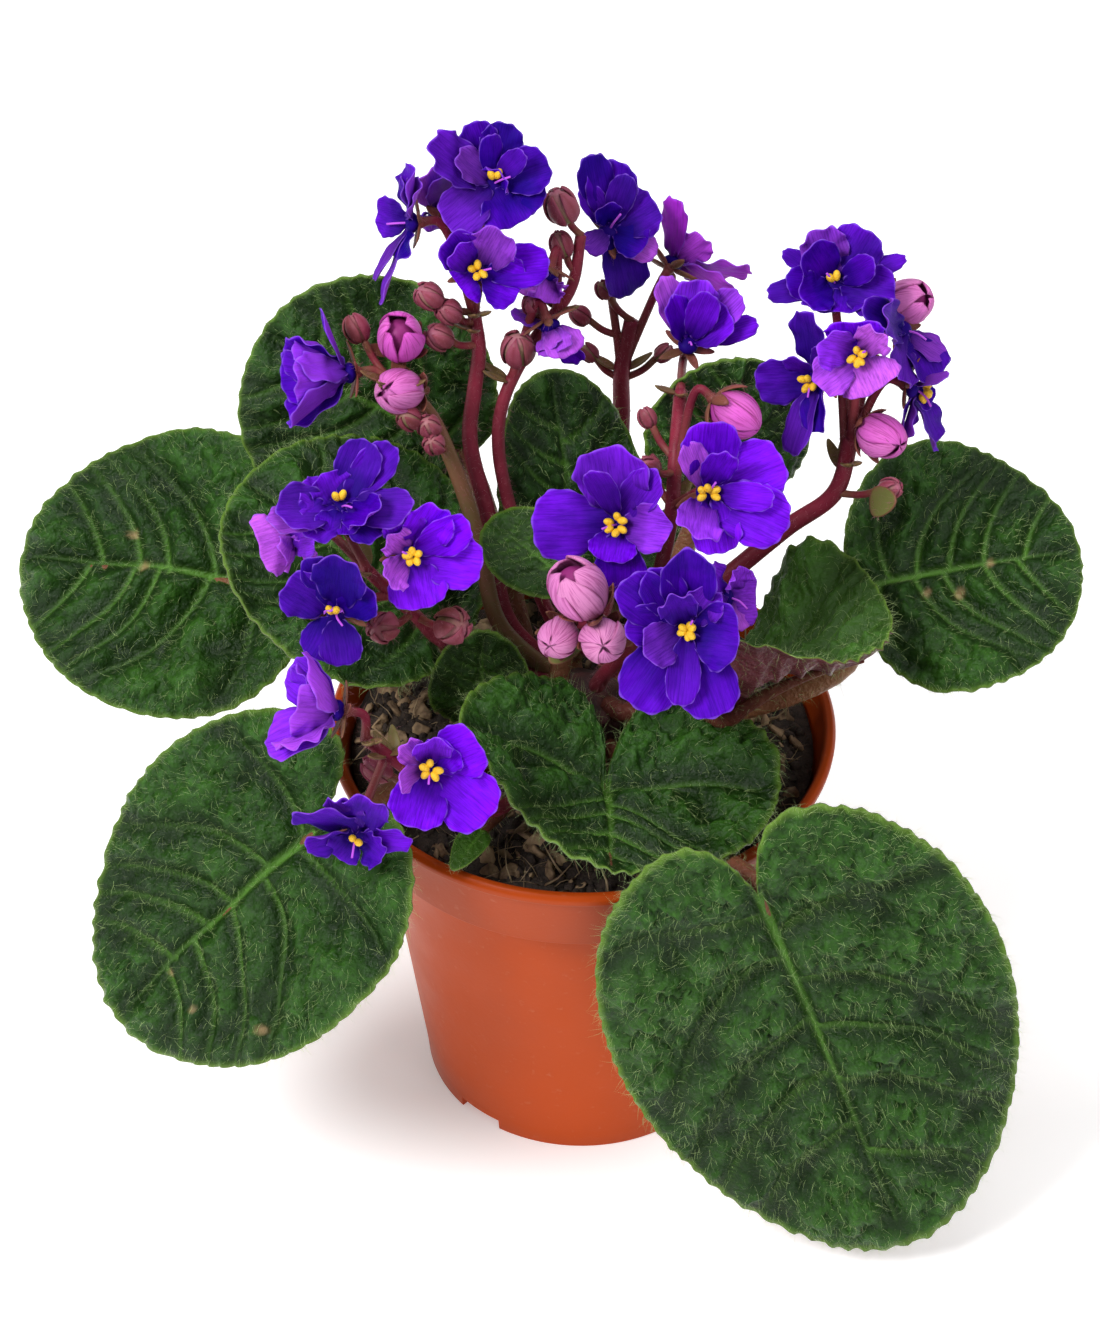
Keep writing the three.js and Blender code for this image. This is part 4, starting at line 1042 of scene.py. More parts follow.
def add_leaf_stalk(flesh, leaf):
    """The stalk, and the rib that it becomes under the blade."""
    length = blade_frame(leaf)[-1]
    radius = leaf.stalk

    def under(x, thin):
        drop = thin + RIB_DROP * min(1, leaf.width / FULL_WIDTH)
        return blade_points(leaf, vec([x]), vec([0.0]), -drop)[0]

    shares = (0.12, 0.35, 0.6, 0.85)
    thins = [radius * (0.8 - 0.75 * s) for s in shares]
    path = [
        root_point(*leaf.root), root_point(*leaf.root, 5), vec(leaf.via), under(-2, radius * 0.9),
        *[under(length * s, thin) for s, thin in zip(shares, thins)]]
    line = smooth_path(path, LEAF_STALK_STEPS)
    known = [radius, radius, radius, radius * 0.9, *thins]
    radii = np.interp(np.linspace(0, len(path) - 1, LEAF_STALK_STEPS), range(len(path)), known)
    points, faces, _ = tube(line, radii, 14)
    flesh.add(points, faces, stalk=1.0, under=1.0, burgundy=leaf.burgundy, fuzz=0.9)


def make_leaf(name, leaf, seed, material):
    flesh = Flesh("vein", "rim", "under", "puff", "stalk", "burgundy", "scar", "fuzz", "comb")
    add_blade(flesh, name, leaf, seed)
    add_leaf_stalk(flesh, leaf)
    return flesh.thing(name + "_blade", material)


# ---- stalks, calyxes and buds ---------------------------------------------------------------------------
SEPAL_GRID = disc_grid(8)
PETAL_GRID = disc_grid(20)
SMALL_PETAL_GRID = disc_grid(14)
BUD_GRID = disc_grid(18)
BUD_PETALS = 5
FLOWER_BACK = 4
PETAL_THICKNESS = 0.4
SEPALS = 5
SEPAL_LENGTH = 5.5
SEPAL_WIDTH = 1.9
STALKLET_RADIUS = 0.95
STALK_STEPS = 240


def look_frame(look):
    """The way something looks, and the ways to its side and up across that."""
    out = facing(*look)
    side = unit(np.cross(UP, out))
    return out, side, np.cross(out, side)


def add_calyx(flesh, base, look, length, spread, bend, width, rng):
    """Five narrow sepals round the back of a flower or bud, on the swollen end of its stalklet."""
    out, side, up = look_frame(look)
    points, faces, _ = egg(base, out, 1.35, 1.5, 6, 10)
    flesh.add(points, faces, green=0.2, fuzz=1.2)
    for i in range(SEPALS):
        turn = math.radians(360 / SEPALS * i + 54 + rng.uniform(-8, 8))
        away = math.cos(turn) * side + math.sin(turn) * up
        rise = math.radians(spread + rng.uniform(-8, 8))
        along = unit(away * math.cos(rise) + out * math.sin(rise))
        points, faces, _ = sheet(
            SEPAL_GRID, base + away * 0.8, along, out - away, length * rng.uniform(0.9, 1.15), width,
            taper=-0.25, bend=bend, cup=0.3, thickness=0.45)
        flesh.add(points, faces, green=0.35, fuzz=1.0)


def add_stem(flesh, points, radius, count, sides, green, flare=1.0):
    """A thin branch through the points, thicker where it starts and flared by that much where it ends."""
    line = smooth_path(points, count)
    radii = radius * np.interp(np.linspace(0, 1, count), (0, 0.12, 0.85, 1), (1.25, 1, 1, flare))
    made, faces, share = tube(line, radii, sides)
    flesh.add(made, faces, green=green + 0.15 * np.sin(share * 9), fuzz=1.0)


def add_stalklet(flesh, head, leave, green, rng):
    """The thin branch from the stalk to a flower or a large bud, and the calyx at its end."""
    out = facing(*head.look)
    bud = isinstance(head, Bud)
    back = head.radius * 1.05 if bud else 2.2
    end = vec(head.throat) - out * back
    before = end - out * FLOWER_BACK
    add_stem(flesh, [leave, before, end], STALKLET_RADIUS, 22, 9, green, 1.25)
    if bud:
        add_calyx(flesh, end - out * 0.3, head.look, 1.4 * head.radius, 4, 66, 0.55 * head.radius, rng)
    else:
        add_calyx(flesh, end, head.look, SEPAL_LENGTH, 2, 18, SEPAL_WIDTH, rng)


def add_fork_scales(flesh, leave, radius, rng):
    """Two green scales where branches leave the stalk."""
    for turn in (rng.uniform(0, 360), rng.uniform(0, 360)):
        away = facing(turn, 20)
        points, faces, _ = sheet(
            SEPAL_GRID, leave + away * radius * 0.6, away, UP, 7.0, 2.6, taper=-0.3, bend=35,
            cup=0.35, thickness=0.5)
        flesh.add(points, faces, green=0.75, fuzz=1.0)


def add_small_bud(flesh, place, radius, fine, rng):
    """A closed bud wrapped in its sepals, on a short branch from the stalk a little below it."""
    nearest = fine[np.argmin(np.abs(fine[:, 2] - place[2] + 6))]
    way = unit(place - nearest)
    half_way = (nearest + place) / 2 + vec((0, 0, -1))
    add_stem(flesh, [nearest, half_way, place - way * radius], 0.8, 12, 8, 0.2)
    out = unit(way + UP * 0.3)
    side = unit(np.cross(out, vec((0.3, 0.2, 1))))
    frame = out, side, np.cross(out, side)
    points, faces, share = egg(place, out, radius * 0.82, radius * 1.1, 10, 15)
    flesh.add(points, faces, green=rng.uniform(0.2, 1.6), pink=1.2 * share, fuzz=0.6)
    twist = rng.uniform(0, 2 * math.pi)
    for i in range(SEPALS):
        turn_at = twist + 2 * math.pi * i / SEPALS
        points, faces, known = fold_round(
            place, frame, SEPAL_GRID, radius, turn_at, 0.6, rng.uniform(0, 0.3), 1.08, 0.2)
        flesh.add(points, faces, green=rng.uniform(0, 0.15), fuzz=1.0,
                  pink=0.25 + 0.5 * (1 - np.exp(-(known["across"] / 0.25) ** 2)) * known["along"])


def make_stalk(key, material):
    """The branching stalk with all that it carries but its flowers and large buds."""
    stalk = STALKS[key]
    rng = np.random.default_rng(STALK_SEED + ord(key))
    flesh = Flesh("green", "pink", "fuzz", "comb")
    path = [root_point(*stalk.root), *[vec(p) for p in stalk.path]]
    line = smooth_path(path, 60)
    radii = stalk.radius * np.linspace(1.12, 0.85, len(line))
    points, faces, share = tube(line, radii, 12)
    flesh.add(points, faces, green=stalk.green * (1 - 0.4 * share), fuzz=1.0)
    fine = smooth_path(path, STALK_STEPS + 1)
    forks = {}
    for head in (*FLOWERS.values(), *BUDS.values()):
        if head.stem == key:
            leave = fine[round(head.start * STALK_STEPS)]
            forks.setdefault(round(head.start, 1), leave)
            add_stalklet(flesh, head, leave, stalk.green * 0.5, rng)
    for leave in forks.values():
        add_fork_scales(flesh, leave, stalk.radius, rng)
    for foot, tip, width in stalk.bracts:
        way = vec(tip) - vec(foot)
        points, faces, known = sheet(
            PETAL_GRID, vec(foot), unit(way), vec((0, -1, 1)), np.linalg.norm(way), width, taper=-0.15,
            bend=15, cup=0.3, thickness=0.6)
        flesh.add(points, faces, green=1.3 - 0.9 * known["rim"] ** 12, fuzz=1.0)
    for *place, radius in stalk.buds:
        add_small_bud(flesh, vec(place), radius, fine, rng)
    return flesh.thing(stalk.name + "_stem", material)


def fold_round(place, frame, grid, radius, turn_at, width, open_share, lap, thickness, close=150):
    """A petal or sepal bent round a bud, with one edge over its neighbour, close degrees from foot to tip."""
    out, side, up = frame
    reach, turn, faces = grid
    x = 0.5 + 0.5 * reach * np.cos(turn)
    y = reach * np.sin(turn)
    rise = np.radians(-65 + (close - 45 * open_share) * x)
    girth = radius * 0.86 * (np.cos(rise) * (1 - open_share) + open_share * (0.55 + 0.5 * x))
    angle = turn_at + y * width * (1 - 0.25 * x)
    height = radius * 1.15 * np.sin(rise) + 0.5 * open_share * np.sin(7 * turn + turn_at) * reach ** 4
    lapped = lap + 0.09 * y * (1 - 0.5 * x) + 0.05 * x * (1 - x)
    shell = []
    for face in (1, -1):
        wide = girth * lapped + face * thickness
        ring = np.outer(np.cos(angle) * wide, side) + np.outer(np.sin(angle) * wide, up)
        shell.append(place + np.outer(height + face * 0.15 * x, out) + ring)
    known = {
        "along": np.tile(x, 2), "across": np.tile(y, 2), "rim": np.tile(reach, 2),
        "face": np.repeat([1.0, 0.0], len(x)),
    }
    return np.concatenate(shell), faces, known


def make_bud(name, bud, seed, material):
    """Petals folded round one another, each with one edge over its neighbour, on a heart which, in an opening
    bud, is pink darkened with painted shade between its petals.
    """
    frame = look_frame(bud.look)
    throat = vec(bud.throat)
    rng = np.random.default_rng(seed)
    flesh = Flesh("along", "across", "rim", "face", "tone", "own")
    points, faces, _ = egg(throat, frame[0], bud.radius * 0.72, bud.radius * 0.9, 12, 20)
    # An opening bud's heart is pink darkened towards burgundy: painted shade between its opening petals.
    opened = bud.open > 0.2
    flesh.add(points, faces, along=0.1 if opened else 1.0, tone=1.0 if opened else bud.tone, rim=1.0 * opened)
    twist = rng.uniform(0, 2 * math.pi)
    for i in range(BUD_PETALS):
        turn_at = twist + 2 * math.pi * i / BUD_PETALS + rng.uniform(-0.2, 0.2)
        points, faces, known = fold_round(
            throat, frame, BUD_GRID, bud.radius, turn_at, rng.uniform(0.85, 1.2),
            bud.open * rng.uniform(0.4, 1.3), 1 + 0.05 * (i % 2), 0.22, rng.uniform(140, 172))
        flesh.add(points, faces, tone=bud.tone * rng.uniform(0.7, 1.2), own=5.0 * i + seed, **known)
    return flesh.thing(name + "_petals", material)


# ---- flowers --------------------------------------------------------------------------------------------
def make_flower(name, flower, seed, material):
    """The petals, the throat they leave, and the style that curves out of it."""
    rng = np.random.default_rng(seed)
    out, side, up = look_frame(flower.look)
    throat = vec(flower.throat)
    flesh = Flesh("rim", "along", "across", "face", "tone", "own", "glow")
    for i, (turn, length, width, rise, curl, tone) in enumerate(PETALS[name]):
        a, e = math.radians(turn), math.radians(rise)
        away = math.cos(a) * side + math.sin(a) * up
        along = away * math.cos(e) + out * math.sin(e)
        points, faces, known = sheet(
            PETAL_GRID if width > 7 else SMALL_PETAL_GRID, throat + away * 1.1 + out * (0.12 * i - 0.4),
            along, out * math.cos(e) - away * math.sin(e), length - 1, width,
            taper=rng.uniform(0.2, 0.34), bend=curl, cup=rng.uniform(-0.05, 0.4), notch=rng.uniform(0, 0.07),
            ruffle=rng.uniform(0.3, 0.8) * min(1, width / 10), waves=int(rng.integers(5, 9)),
            phase=rng.uniform(0, 6), thickness=PETAL_THICKNESS, fold=rng.uniform(-0.18, 0.25), crinkle=0.025)
        light = flower.glow + rng.uniform(-0.15, 0.15)
        flesh.add(points, faces, tone=tone, own=10.0 * i + seed, glow=light, **known)
    points, faces, _ = egg(throat - out * 0.6, out, 2.2, 1.4, 8, 14)
    flesh.add(points, faces, rim=0.5, along=0.1, across=0.0, face=1.0, tone=0.1, own=0.0)
    lean = math.radians(rng.uniform(0, 360))
    away = math.cos(lean) * side + math.sin(lean) * up
    style = smooth_path([throat, throat + out * 2.5 + away, throat + out * 4.2 + away * 2.6], 9)
    points, faces, _ = tube(style, 0.24, 6)
    flesh.add(points, faces, rim=0.5, along=0.8, across=0.0, face=1.0, tone=0.9, own=0.0)
    return flesh.thing(name + "_petals", material)


def make_anthers(name, flower, seed, tree, material):
    """Yellow pairs of lobes in the throat."""
    rng = np.random.default_rng(seed)
    out, side, up = look_frame(flower.look)
    throat = vec(flower.throat)
    lobes = Flesh("comb")
    for i in range(flower.anthers):
        turn = math.radians(90 + 360 / flower.anthers * i + rng.uniform(-35, 35))
        spread = rng.uniform(0.7, 1.7)
        away = math.cos(turn) * side + math.sin(turn) * up
        beside = np.cross(out, away)
        for half in (-1, 1):
            middle = throat + out * rng.uniform(2.0, 3.0) + away * spread + beside * half * 0.7
            lean = unit(out * rng.uniform(0.2, 0.9) + away * rng.uniform(0.2, 0.9) + beside * half * 0.4)
            lobes.add(middle[None], [], comb=lean[None])
    host = lobes.thing(name + "_anther_spots")
    anthers = grown(name + "_anthers", host, tree, Length=1.2 * MM, Girth=0.82 * MM, Material=material)
    bpy.data.objects.remove(host)
    return anthers


# ---- pot, soil and crown --------------------------------------------------------------------------------
def revolve(profile, segments):
    """A closed solid of revolution about the pot's axis: the profile starts and ends on the axis."""
    turns = np.linspace(0, 2 * math.pi, segments, endpoint=False)
    inner = profile[1:-1]
    points = [[r * math.cos(a), r * math.sin(a), z] for r, z in inner for a in turns]
    points += [[0, 0, profile[0][1]], [0, 0, profile[-1][1]]]
    return np.array(points, float), ringed_faces(len(inner), segments)


POT_WALL = 1.2
RIM_RADIUS = 55
POT_HEIGHT = 98
LIP_WIDTH = 2.6
LIP_HEIGHT = 2.6
COLLAR_BASE = 80
COLLAR_FOOT = 50.5
BODY_TOP = 45.5
FOOT_RADIUS = 35
FOOT_BORE = 31.5
BASE_HEIGHT = 3
FOOT_NOTCHES = 4
FOOT_NOTCH_SIZE = (10.5, 11, 6)
FOOT_NOTCH_REACH = 33.2
FOOT_NOTCH_TURN = 229.5
DRAIN_HOLES = 6
DRAIN_RADIUS = 4
DRAIN_REACH = 21
SOIL_EDGE = 90
SOIL_MOUND = 4
POT_SEGMENTS = 192
SOIL_SEGMENTS = 160
CROWN_SEGMENTS = 64


def rounded(profile, softness=0.35, steps=3):
    """The profile with each inner corner turned into a short curve."""
    out = [profile[0]]
    for before, corner, after in zip(profile, profile[1:], profile[2:]):
        b, c, a = vec(before), vec(corner), vec(after)
        near = min(softness, np.linalg.norm(c - b) * 0.4, np.linalg.norm(a - c) * 0.4)
        start, end = c + unit(b - c) * near, c + unit(a - c) * near
        for t in np.linspace(0, 1, steps + 1):
            out.append(tuple((1 - t) ** 2 * start + 2 * t * (1 - t) * c + t * t * end))
    out.append(profile[-1])
    return out


def round_the_axis(turn, reach, height):
    """A place in the frame, in metres, from one in millimetres about the pot's axis."""
    return Vector(AXIS) + Vector((reach * MM * math.cos(turn), reach * MM * math.sin(turn), height * MM))


def make_pot(settings, material):
    """The thin shell turned about its axis, with its foot's notches and its drain holes cut out."""
    rim = settings.rim_radius / MM
    height = settings.height / MM
    lip = rim - LIP_WIDTH
    profile = [
        (0, BASE_HEIGHT), (FOOT_BORE, BASE_HEIGHT), (FOOT_BORE, 0), (FOOT_RADIUS, 0),
        (FOOT_RADIUS + 0.5, BASE_HEIGHT + 2.2), (BODY_TOP, COLLAR_BASE), (COLLAR_FOOT, COLLAR_BASE),
        (lip + POT_WALL, height - LIP_HEIGHT), (rim - 0.2, height - LIP_HEIGHT), (rim, height - 1),
        (rim - 0.8, height), (lip + 0.6, height), (lip, height - 0.8),
        (COLLAR_FOOT - POT_WALL, COLLAR_BASE + POT_WALL), (BODY_TOP - POT_WALL, COLLAR_BASE + POT_WALL),
        (FOOT_RADIUS + 0.5 - POT_WALL, BASE_HEIGHT + 2.2),
        (FOOT_RADIUS - 0.5 - POT_WALL, BASE_HEIGHT + POT_WALL), (0, BASE_HEIGHT + POT_WALL)]
    points, faces = revolve(rounded(profile), POT_SEGMENTS)
    flesh = Flesh()
    flesh.add(points, faces)
    pot = flesh.thing("terracotta_pot", material)
    cutters = []
    for i in range(FOOT_NOTCHES):
        bpy.ops.mesh.primitive_cube_add(size=1)
        notch = bpy.context.object
        turn = math.radians(FOOT_NOTCH_TURN + 360 / FOOT_NOTCHES * i)
        notch.scale = [size * MM for size in FOOT_NOTCH_SIZE]
        notch.rotation_euler = (0, 0, turn)
        notch.location = round_the_axis(turn, FOOT_NOTCH_REACH, 0)
        cutters.append(notch)
    for i in range(DRAIN_HOLES):
        bpy.ops.mesh.primitive_cylinder_add(vertices=48, radius=DRAIN_RADIUS * MM, depth=5 * MM)
        hole = bpy.context.object
        hole.location = round_the_axis(math.radians(360 / DRAIN_HOLES * i), DRAIN_REACH, BASE_HEIGHT)
        cutters.append(hole)
    for cutter in cutters:
        cut = pot.modifiers.new("cut", "BOOLEAN")
        cut.operation = "DIFFERENCE"
        cut.solver = "EXACT"
        cut.object = cutter
    bpy.context.view_layer.update()
    graph = bpy.context.evaluated_depsgraph_get()
    mesh = bpy.data.meshes.new_from_object(pot.evaluated_get(graph))
    pot.modifiers.clear()
    pot.data = mesh
    for cutter in cutters:
        bpy.data.objects.remove(cutter)
    mesh.polygons.foreach_set("use_smooth", [True] * len(mesh.polygons))
    mesh.set_sharp_from_angle(angle=math.radians(38))
    return pot


def make_soil(material):
    """The peat's uneven top and its plain sides inside the pot."""
    rng = np.random.default_rng(SOIL_SEED)
    slope = (RIM_RADIUS - LIP_WIDTH - COLLAR_FOOT + POT_WALL) / (POT_HEIGHT - COLLAR_BASE - POT_WALL)
    edge = COLLAR_FOOT - POT_WALL + slope * (SOIL_EDGE - COLLAR_BASE - POT_WALL) - 0.6
    # About half a millimetre inside the pot's wall and base.
    sides = [(0, 4.5), (32.8, 4.5), (33.8, 5.5), (43.7, 81.5), (48.7, 81.5), (edge, SOIL_EDGE)]
    rings = [(edge * s, SOIL_EDGE + SOIL_MOUND * (1 - s * s)) for s in np.linspace(0.98, 0.02, 44)]
    points, faces = revolve([*sides, *rings, (0, SOIL_EDGE + SOIL_MOUND)], SOIL_SEGMENTS)
    top = np.clip((points[:, 2] - SOIL_EDGE + 1) / 1.5, 0, 1) * (np.hypot(points[:, 0], points[:, 1]) > 1)
    coarse, _ = cells(points[:, 0], points[:, 1], 4.2, 3.0)
    fine, _ = cells(points[:, 0], points[:, 1], 1.9, 8.0)
    lumps = 1.5 * (1 - coarse / 3.2) + 0.8 * (1 - fine / 1.5) + rng.normal(0, 0.12, len(points))
    points[:, 2] += top * lumps
    flesh = Flesh("fuzz", "comb")
    flesh.add(points, faces, fuzz=(top > 0.9).astype(float))
    return flesh.thing("peat_bed", material)


def make_crown(material):
    """The short knobbly stem, ringed by the scars of old leaves."""
    profile = [(0, CROWN_FOOT)]
    for t in np.linspace(0.02, 0.98, 40):
        z = CROWN_FOOT + (CROWN_TOP - CROWN_FOOT) * t
        body = np.interp(t, (0, 0.3, 0.5, 0.82, 1), (5.4, 7.6, 9, 8.5, 2))
        profile.append((body * (1 + 0.05 * math.sin(t * 40)), z))
    profile.append((0, CROWN_TOP))
    points, faces = revolve(profile, CROWN_SEGMENTS)
    turn = np.arctan2(points[:, 1], points[:, 0])
    scar, _ = cells(turn * CROWN_RADIUS, points[:, 2], 4.0, 2.0)
    swell = 1 + 0.12 * (1 - scar / 3)
    points[:, :2] *= swell[:, None]
    flesh = Flesh()
    flesh.add(points, faces)
    return flesh.thing("short_crown", material)


# ---- settings -------------------------------------------------------------------------------------------
def colour(name, description, default):
    return bpy.props.FloatVectorProperty(
        name=name, description=description, default=default, size=3, min=0, max=1, subtype="COLOR")


def length(name, description, default):
    return bpy.props.FloatProperty(
        name=name, description=description, default=default, min=0, subtype="DISTANCE", unit="LENGTH")


class VioletPotSettings(bpy.types.PropertyGroup):
    rim_radius: length("Rim radius", "Half the pot's width at its lip", (POT_HIGH.x - POT_LOW.x) / 2)
    height: length("Height", "From the floor to the lip", POT_HIGH.z)
    plastic: colour("Plastic", "Colour of the moulded pot", (0.48, 0.063, 0.006))
    peat: colour("Peat", "Colour of the damp peat", (0.016, 0.010, 0.007))


class VioletLeafSettings(bpy.types.PropertyGroup):
    dark: colour("Dark green", "Darkest part of the blades", (0.010, 0.040, 0.004))
    light: colour("Light green", "Lighter part of the blades", (0.020, 0.068, 0.006))
    vein: colour("Veins", "Midribs and side veins", (0.09, 0.23, 0.025))
    rim: colour("Rim", "Thin border of the blades", (0.14, 0.25, 0.03))
    hair: colour("Hairs", "Fine hairs on blades and stalks", (0.46, 0.62, 0.24))
    hair_length: length("Hair length", "Longest hairs on the blades", 0.0028)
    hair_thickness: length("Hair thickness", "Radius of a hair at its foot", 0.00004)
    hair_density: bpy.props.FloatProperty(
        name="Hair density", description="Hairs on a square millimetre of blade", default=0.36, min=0, max=4)


class VioletFlowerSettings(bpy.types.PropertyGroup):
    deep: colour("Deep violet", "Shaded violet of the petals", (0.011, 0.0, 0.21))
    bright: colour("Bright violet", "Lighter violet of the petals", (0.20, 0.002, 0.90))
    lilac: colour("Lilac", "Backs and palest petals", (0.58, 0.11, 0.80))
    edge: colour("Edge", "Thin pale border of the petals", (0.30, 0.12, 0.80))
    anther: colour("Anthers", "Yellow of the anthers", (0.95, 0.55, 0.015))
    stalk: colour("Stalks", "Burgundy of the flower stalks", (0.120, 0.010, 0.023))
    bud: colour("Buds", "Palest pink of the buds", (0.64, 0.28, 0.45))


class VioletStageSettings(bpy.types.PropertyGroup):
    floor: colour("Floor", "Colour of the floor", (0.95, 0.95, 0.95))
    light: bpy.props.FloatProperty(name="Light", description="Strength of the main lamp", default=24, min=0)
    lens: bpy.props.FloatProperty(name="Lens", description="Focal length in millimetres", default=125, min=1)


# ---- stage ----------------------------------------------------------------------------------------------
# Metres, with the camera's place measured from the pot's axis on the floor. Each lamp has its place, its
# width and its share of the main lamp's strength.
FLOOR_SIZE = 8
FLOOR_GLOW = 0.28
ROOM_LIGHT = 0.27
LAMPS = (
    ("key_lamp", (-0.8, -0.7, 1.3), 0.6, 1),
    ("fill_lamp", (0.9, -0.7, 0.9), 0.9, 0.22),
    ("top_lamp", (0.1, 0.3, 1.6), 1.2, 0.5),
)
LAMPS_AIM = (0, 0, 0.12)
CAMERA_PLACE = (0, -0.736, 0.7697)
CAMERA_TILT = 48.36
CAMERA_TURN = 0.55


# ---- operators ------------------------------------------------------------------------------------------
class VIOLET_OT_pot(bpy.types.Operator):
    """Makes the moulded pot"""
    bl_idname = "violet.pot"
    bl_label = "Pot"

    def execute(self, context):
        settings = context.scene.violet_pot
        declare(make_pot(settings, pot_material(tuple(settings.plastic))), "pot_plastic", "pot")
        return {"FINISHED"}


class VIOLET_OT_soil(bpy.types.Operator):
    """Fills the pot with peat and strews crumbs, chips and fibres over it"""
    bl_idname = "violet.soil"
    bl_label = "Soil"

    def execute(self, context):
        dark = tuple(context.scene.violet_pot.peat)
        peat = plain_grain("damp_peat", dark, tuple(3 * c for c in dark), 500, 0.85, 0.0008)
        chip = plain_grain("bark_chips", (0.07, 0.035, 0.017), (0.40, 0.27, 0.15), 250, 0.8, 0.0005)
        fibre = plain_grain("peat_fibres", (0.12, 0.065, 0.03), (0.5, 0.37, 0.22), 120, 0.75, 0.0003)
        bed = make_soil(peat)
        crumbs = crumb_tree()
        hairs = hair_tree()
        lumps = grown("peat_crumbs", bed, crumbs, Density=0.16 * PER_SQUARE_MM, Size=1.5 * MM, Flatness=0.8,
                      Seed=3, Material=peat)
        chips = grown("bark_bits", bed, crumbs, Density=0.045 * PER_SQUARE_MM, Size=3.2 * MM, Flatness=0.3,
                      Seed=11, Material=chip)
        fibres = grown("peat_fibres", bed, hairs, Density=0.07 * PER_SQUARE_MM, Length=9 * MM,
                       Thickness=0.2 * MM, Stand=0.35, Stray=1.0, Bend=0.45, Seed=5, Material=fibre)
        roots = grown("pale_roots", bed, hairs, Density=0.012 * PER_SQUARE_MM, Length=15 * MM,
                      Thickness=0.7 * MM, Stand=0.25, Stray=1.0, Bend=0.6, Seed=21, Material=fibre)
        declare(bed, "peat", "soil")
        for piece in (lumps, chips, fibres, roots):
            declare(piece, "peat")
        return {"FINISHED"}


class VIOLET_OT_crown(bpy.types.Operator):
    """Makes the short crown that every stalk leaves"""
    bl_idname = "violet.crown"
    bl_label = "Crown"

    def execute(self, context):
        bark = plain_grain("crown_skin", (0.025, 0.007, 0.006), (0.085, 0.02, 0.018), 250, 0.7, 0.0005)
        declare(make_crown(bark), "crown", "crown")
        return {"FINISHED"}


class VIOLET_OT_leaves(bpy.types.Operator):
    """Grows every leaf, blade and stalk in one, and the hairs on it"""
    bl_idname = "violet.leaves"
    bl_label = "Leaves"

    def execute(self, context):
        settings = context.scene.violet_leaf
        skin = leaf_material(
            "leaf_skin", tuple(settings.dark), tuple(settings.light), tuple(settings.vein),
            tuple(settings.rim))
        pale = tuple(settings.hair)
        hair = plain_grain("leaf_hairs", tuple(0.7 * c for c in pale), pale, 200, 0.5, 0.0001)
        tree = hair_tree()
        for seed, (name, leaf) in enumerate(LEAVES.items()):
            blade = make_leaf(name, leaf, seed + LEAF_SEED, skin)
            small = min(1, 0.5 + leaf.width / 100)
            hairs = grown(
                name + "_hairs", blade, tree, Density=settings.hair_density * PER_SQUARE_MM / small,
                Length=settings.hair_length * small, Thickness=settings.hair_thickness, Stand=0.4,
                Stray=0.8, Bend=0.9, Seed=seed, Material=hair)
            drop_hair_values(blade.data)
            declare(blade, "leaf", name)
            declare(hairs, "leaf")
        return {"FINISHED"}


class VIOLET_OT_stalks(bpy.types.Operator):
    """Grows the branching flower stalks with their calyxes, bracts, small buds and hairs"""
    bl_idname = "violet.stalks"
    bl_label = "Flower stalks"

    def execute(self, context):
        settings = context.scene.violet_flower
        skin = stalk_material("stalk_skin", tuple(settings.stalk), (0.15, 0.16, 0.045))
        hair = plain_grain("stalk_hairs", (0.22, 0.05, 0.07), (0.5, 0.22, 0.25), 200, 0.5, 0.0001)
        tree = hair_tree()
        for key, stalk in STALKS.items():
            stem = make_stalk(key, skin)
            hairs = grown(
                stalk.name + "_hairs", stem, tree, Density=0.7 * PER_SQUARE_MM, Length=1.7 * MM,
                Thickness=0.028 * MM, Stand=0.8, Stray=0.5, Bend=0.4, Seed=ord(key), Material=hair)
            drop_hair_values(stem.data)
            declare(stem, "stalk", stalk.name)
            declare(hairs, "stalk")
        return {"FINISHED"}


class VIOLET_OT_buds(bpy.types.Operator):
    """Makes the larger buds, with their petals still folded"""
    bl_idname = "violet.buds"
    bl_label = "Buds"

    def execute(self, context):
        settings = context.scene.violet_flower
        skin = bud_material("bud_petals", tuple(settings.bud), (0.62, 0.09, 0.52), (0.15, 0.009, 0.06))
        for seed, (name, bud) in enumerate(BUDS.items()):
            declare(make_bud(name, bud, seed + BUD_SEED, skin), "bud", name)
        return {"FINISHED"}


class VIOLET_OT_flowers(bpy.types.Operator):
    """Opens every flower: its petals and its anthers"""
    bl_idname = "violet.flowers"
    bl_label = "Flowers"

    def execute(self, context):
        settings = context.scene.violet_flower
        deep, bright, lilac = tuple(settings.deep), tuple(settings.bright), tuple(settings.lilac)
        violet = petal_material("violet_petal", deep, bright, lilac, tuple(settings.edge))
        gold = tuple(settings.anther)
        pollen = plain_grain("anther_skin", tuple(0.75 * c for c in gold), gold, 900, 0.5, 0.0003)
        tree = lobe_tree()
        for seed, (name, flower) in enumerate(FLOWERS.items()):
            petals = make_flower(name, flower, seed + FLOWER_SEED, violet)
            declare(petals, "lilac_petal" if name in PALE_FLOWERS else "violet_petal", name)
            if flower.anthers:
                anthers = make_anthers(name, flower, seed + ANTHER_SEED, tree, pollen)
                declare(anthers, "violet_petal")
        return {"FINISHED"}


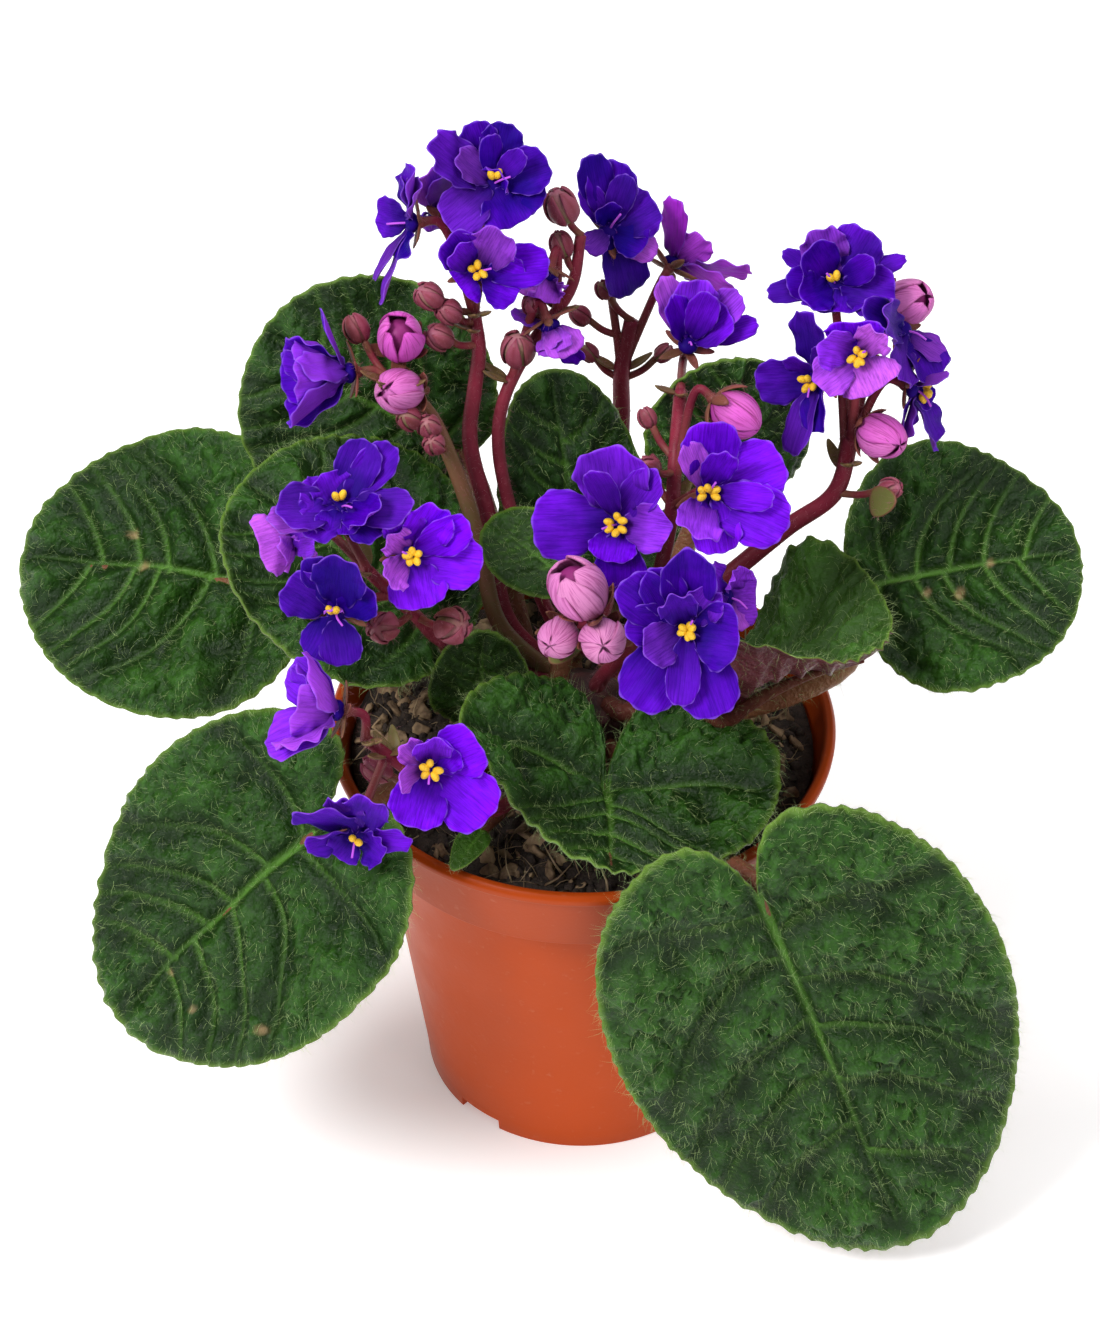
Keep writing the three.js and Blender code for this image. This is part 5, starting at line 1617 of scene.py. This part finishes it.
class VIOLET_OT_stage(bpy.types.Operator):
    """Sets the floor, the soft lamps and the camera"""
    bl_idname = "violet.stage"
    bl_label = "Stage"

    def execute(self, context):
        settings = context.scene.violet_stage
        scene = context.scene
        scene.view_settings.view_transform = "Standard"
        bpy.ops.mesh.primitive_plane_add(size=FLOOR_SIZE)
        floor = context.object
        floor.name = "floor"
        floor.data.materials.append(plain_grain(
            "floor_paper", tuple(0.99 * c for c in settings.floor), tuple(settings.floor), 3, 0.9, 0.00001,
            Emission_Color=(1, 1, 1, 1), Emission_Strength=FLOOR_GLOW))
        world = bpy.data.worlds.new("studio")
        world.use_nodes = True
        backdrop = world.node_tree.nodes["Background"].inputs
        backdrop["Color"].default_value = (1, 1, 1, 1)
        backdrop["Strength"].default_value = ROOM_LIGHT
        scene.world = world
        for name, place, size, share in LAMPS:
            lamp = bpy.data.lights.new(name, "AREA")
            lamp.shape = "DISK"
            lamp.size = size
            lamp.energy = settings.light * share
            holder = bpy.data.objects.new(name, lamp)
            holder.location = place
            aim = Vector(LAMPS_AIM) - Vector(place)
            holder.rotation_euler = aim.to_track_quat("-Z", "Y").to_euler()
            scene.collection.objects.link(holder)
        camera = bpy.data.objects.new("camera", bpy.data.cameras.new("camera"))
        camera.data.lens = settings.lens
        camera.data.clip_start = 0.05
        camera.data.clip_end = 20
        camera.location = Vector(AXIS) + Vector(CAMERA_PLACE)
        camera.rotation_euler = (math.radians(CAMERA_TILT), 0, math.radians(CAMERA_TURN))
        scene.collection.objects.link(camera)
        scene.camera = camera
        return {"FINISHED"}


class VIOLET_PT_sidebar(bpy.types.Panel):
    """Lists the violet's sizes and colours and the steps that make it"""
    bl_idname = "VIOLET_PT_sidebar"
    bl_label = "African violet"
    bl_space_type = "VIEW_3D"
    bl_region_type = "UI"
    bl_category = "Violet"

    def draw(self, context):
        for group in SETTINGS:
            box = self.layout.box()
            settings = getattr(context.scene, group)
            for name in SETTINGS[group].__annotations__:
                box.prop(settings, name)
        for step in STEPS:
            self.layout.operator(step.bl_idname)


SETTINGS = {
    "violet_pot": VioletPotSettings,
    "violet_leaf": VioletLeafSettings,
    "violet_flower": VioletFlowerSettings,
    "violet_stage": VioletStageSettings,
}
STEPS = (
    VIOLET_OT_pot, VIOLET_OT_soil, VIOLET_OT_crown, VIOLET_OT_leaves, VIOLET_OT_stalks, VIOLET_OT_buds,
    VIOLET_OT_flowers, VIOLET_OT_stage)


def register():
    for settings in SETTINGS.values():
        bpy.utils.register_class(settings)
    for group, settings in SETTINGS.items():
        setattr(bpy.types.Scene, group, bpy.props.PointerProperty(type=settings))
    for step in (*STEPS, VIOLET_PT_sidebar):
        bpy.utils.register_class(step)


def unregister():
    for step in (VIOLET_PT_sidebar, *reversed(STEPS)):
        bpy.utils.unregister_class(step)
    for group in SETTINGS:
        delattr(bpy.types.Scene, group)
    for settings in SETTINGS.values():
        bpy.utils.unregister_class(settings)


def main():
    register()
    bpy.ops.violet.pot()
    bpy.ops.violet.soil()
    bpy.ops.violet.crown()
    bpy.ops.violet.leaves()
    bpy.ops.violet.stalks()
    bpy.ops.violet.buds()
    bpy.ops.violet.flowers()
    bpy.ops.violet.stage()


if __name__ == "__main__":
    main()
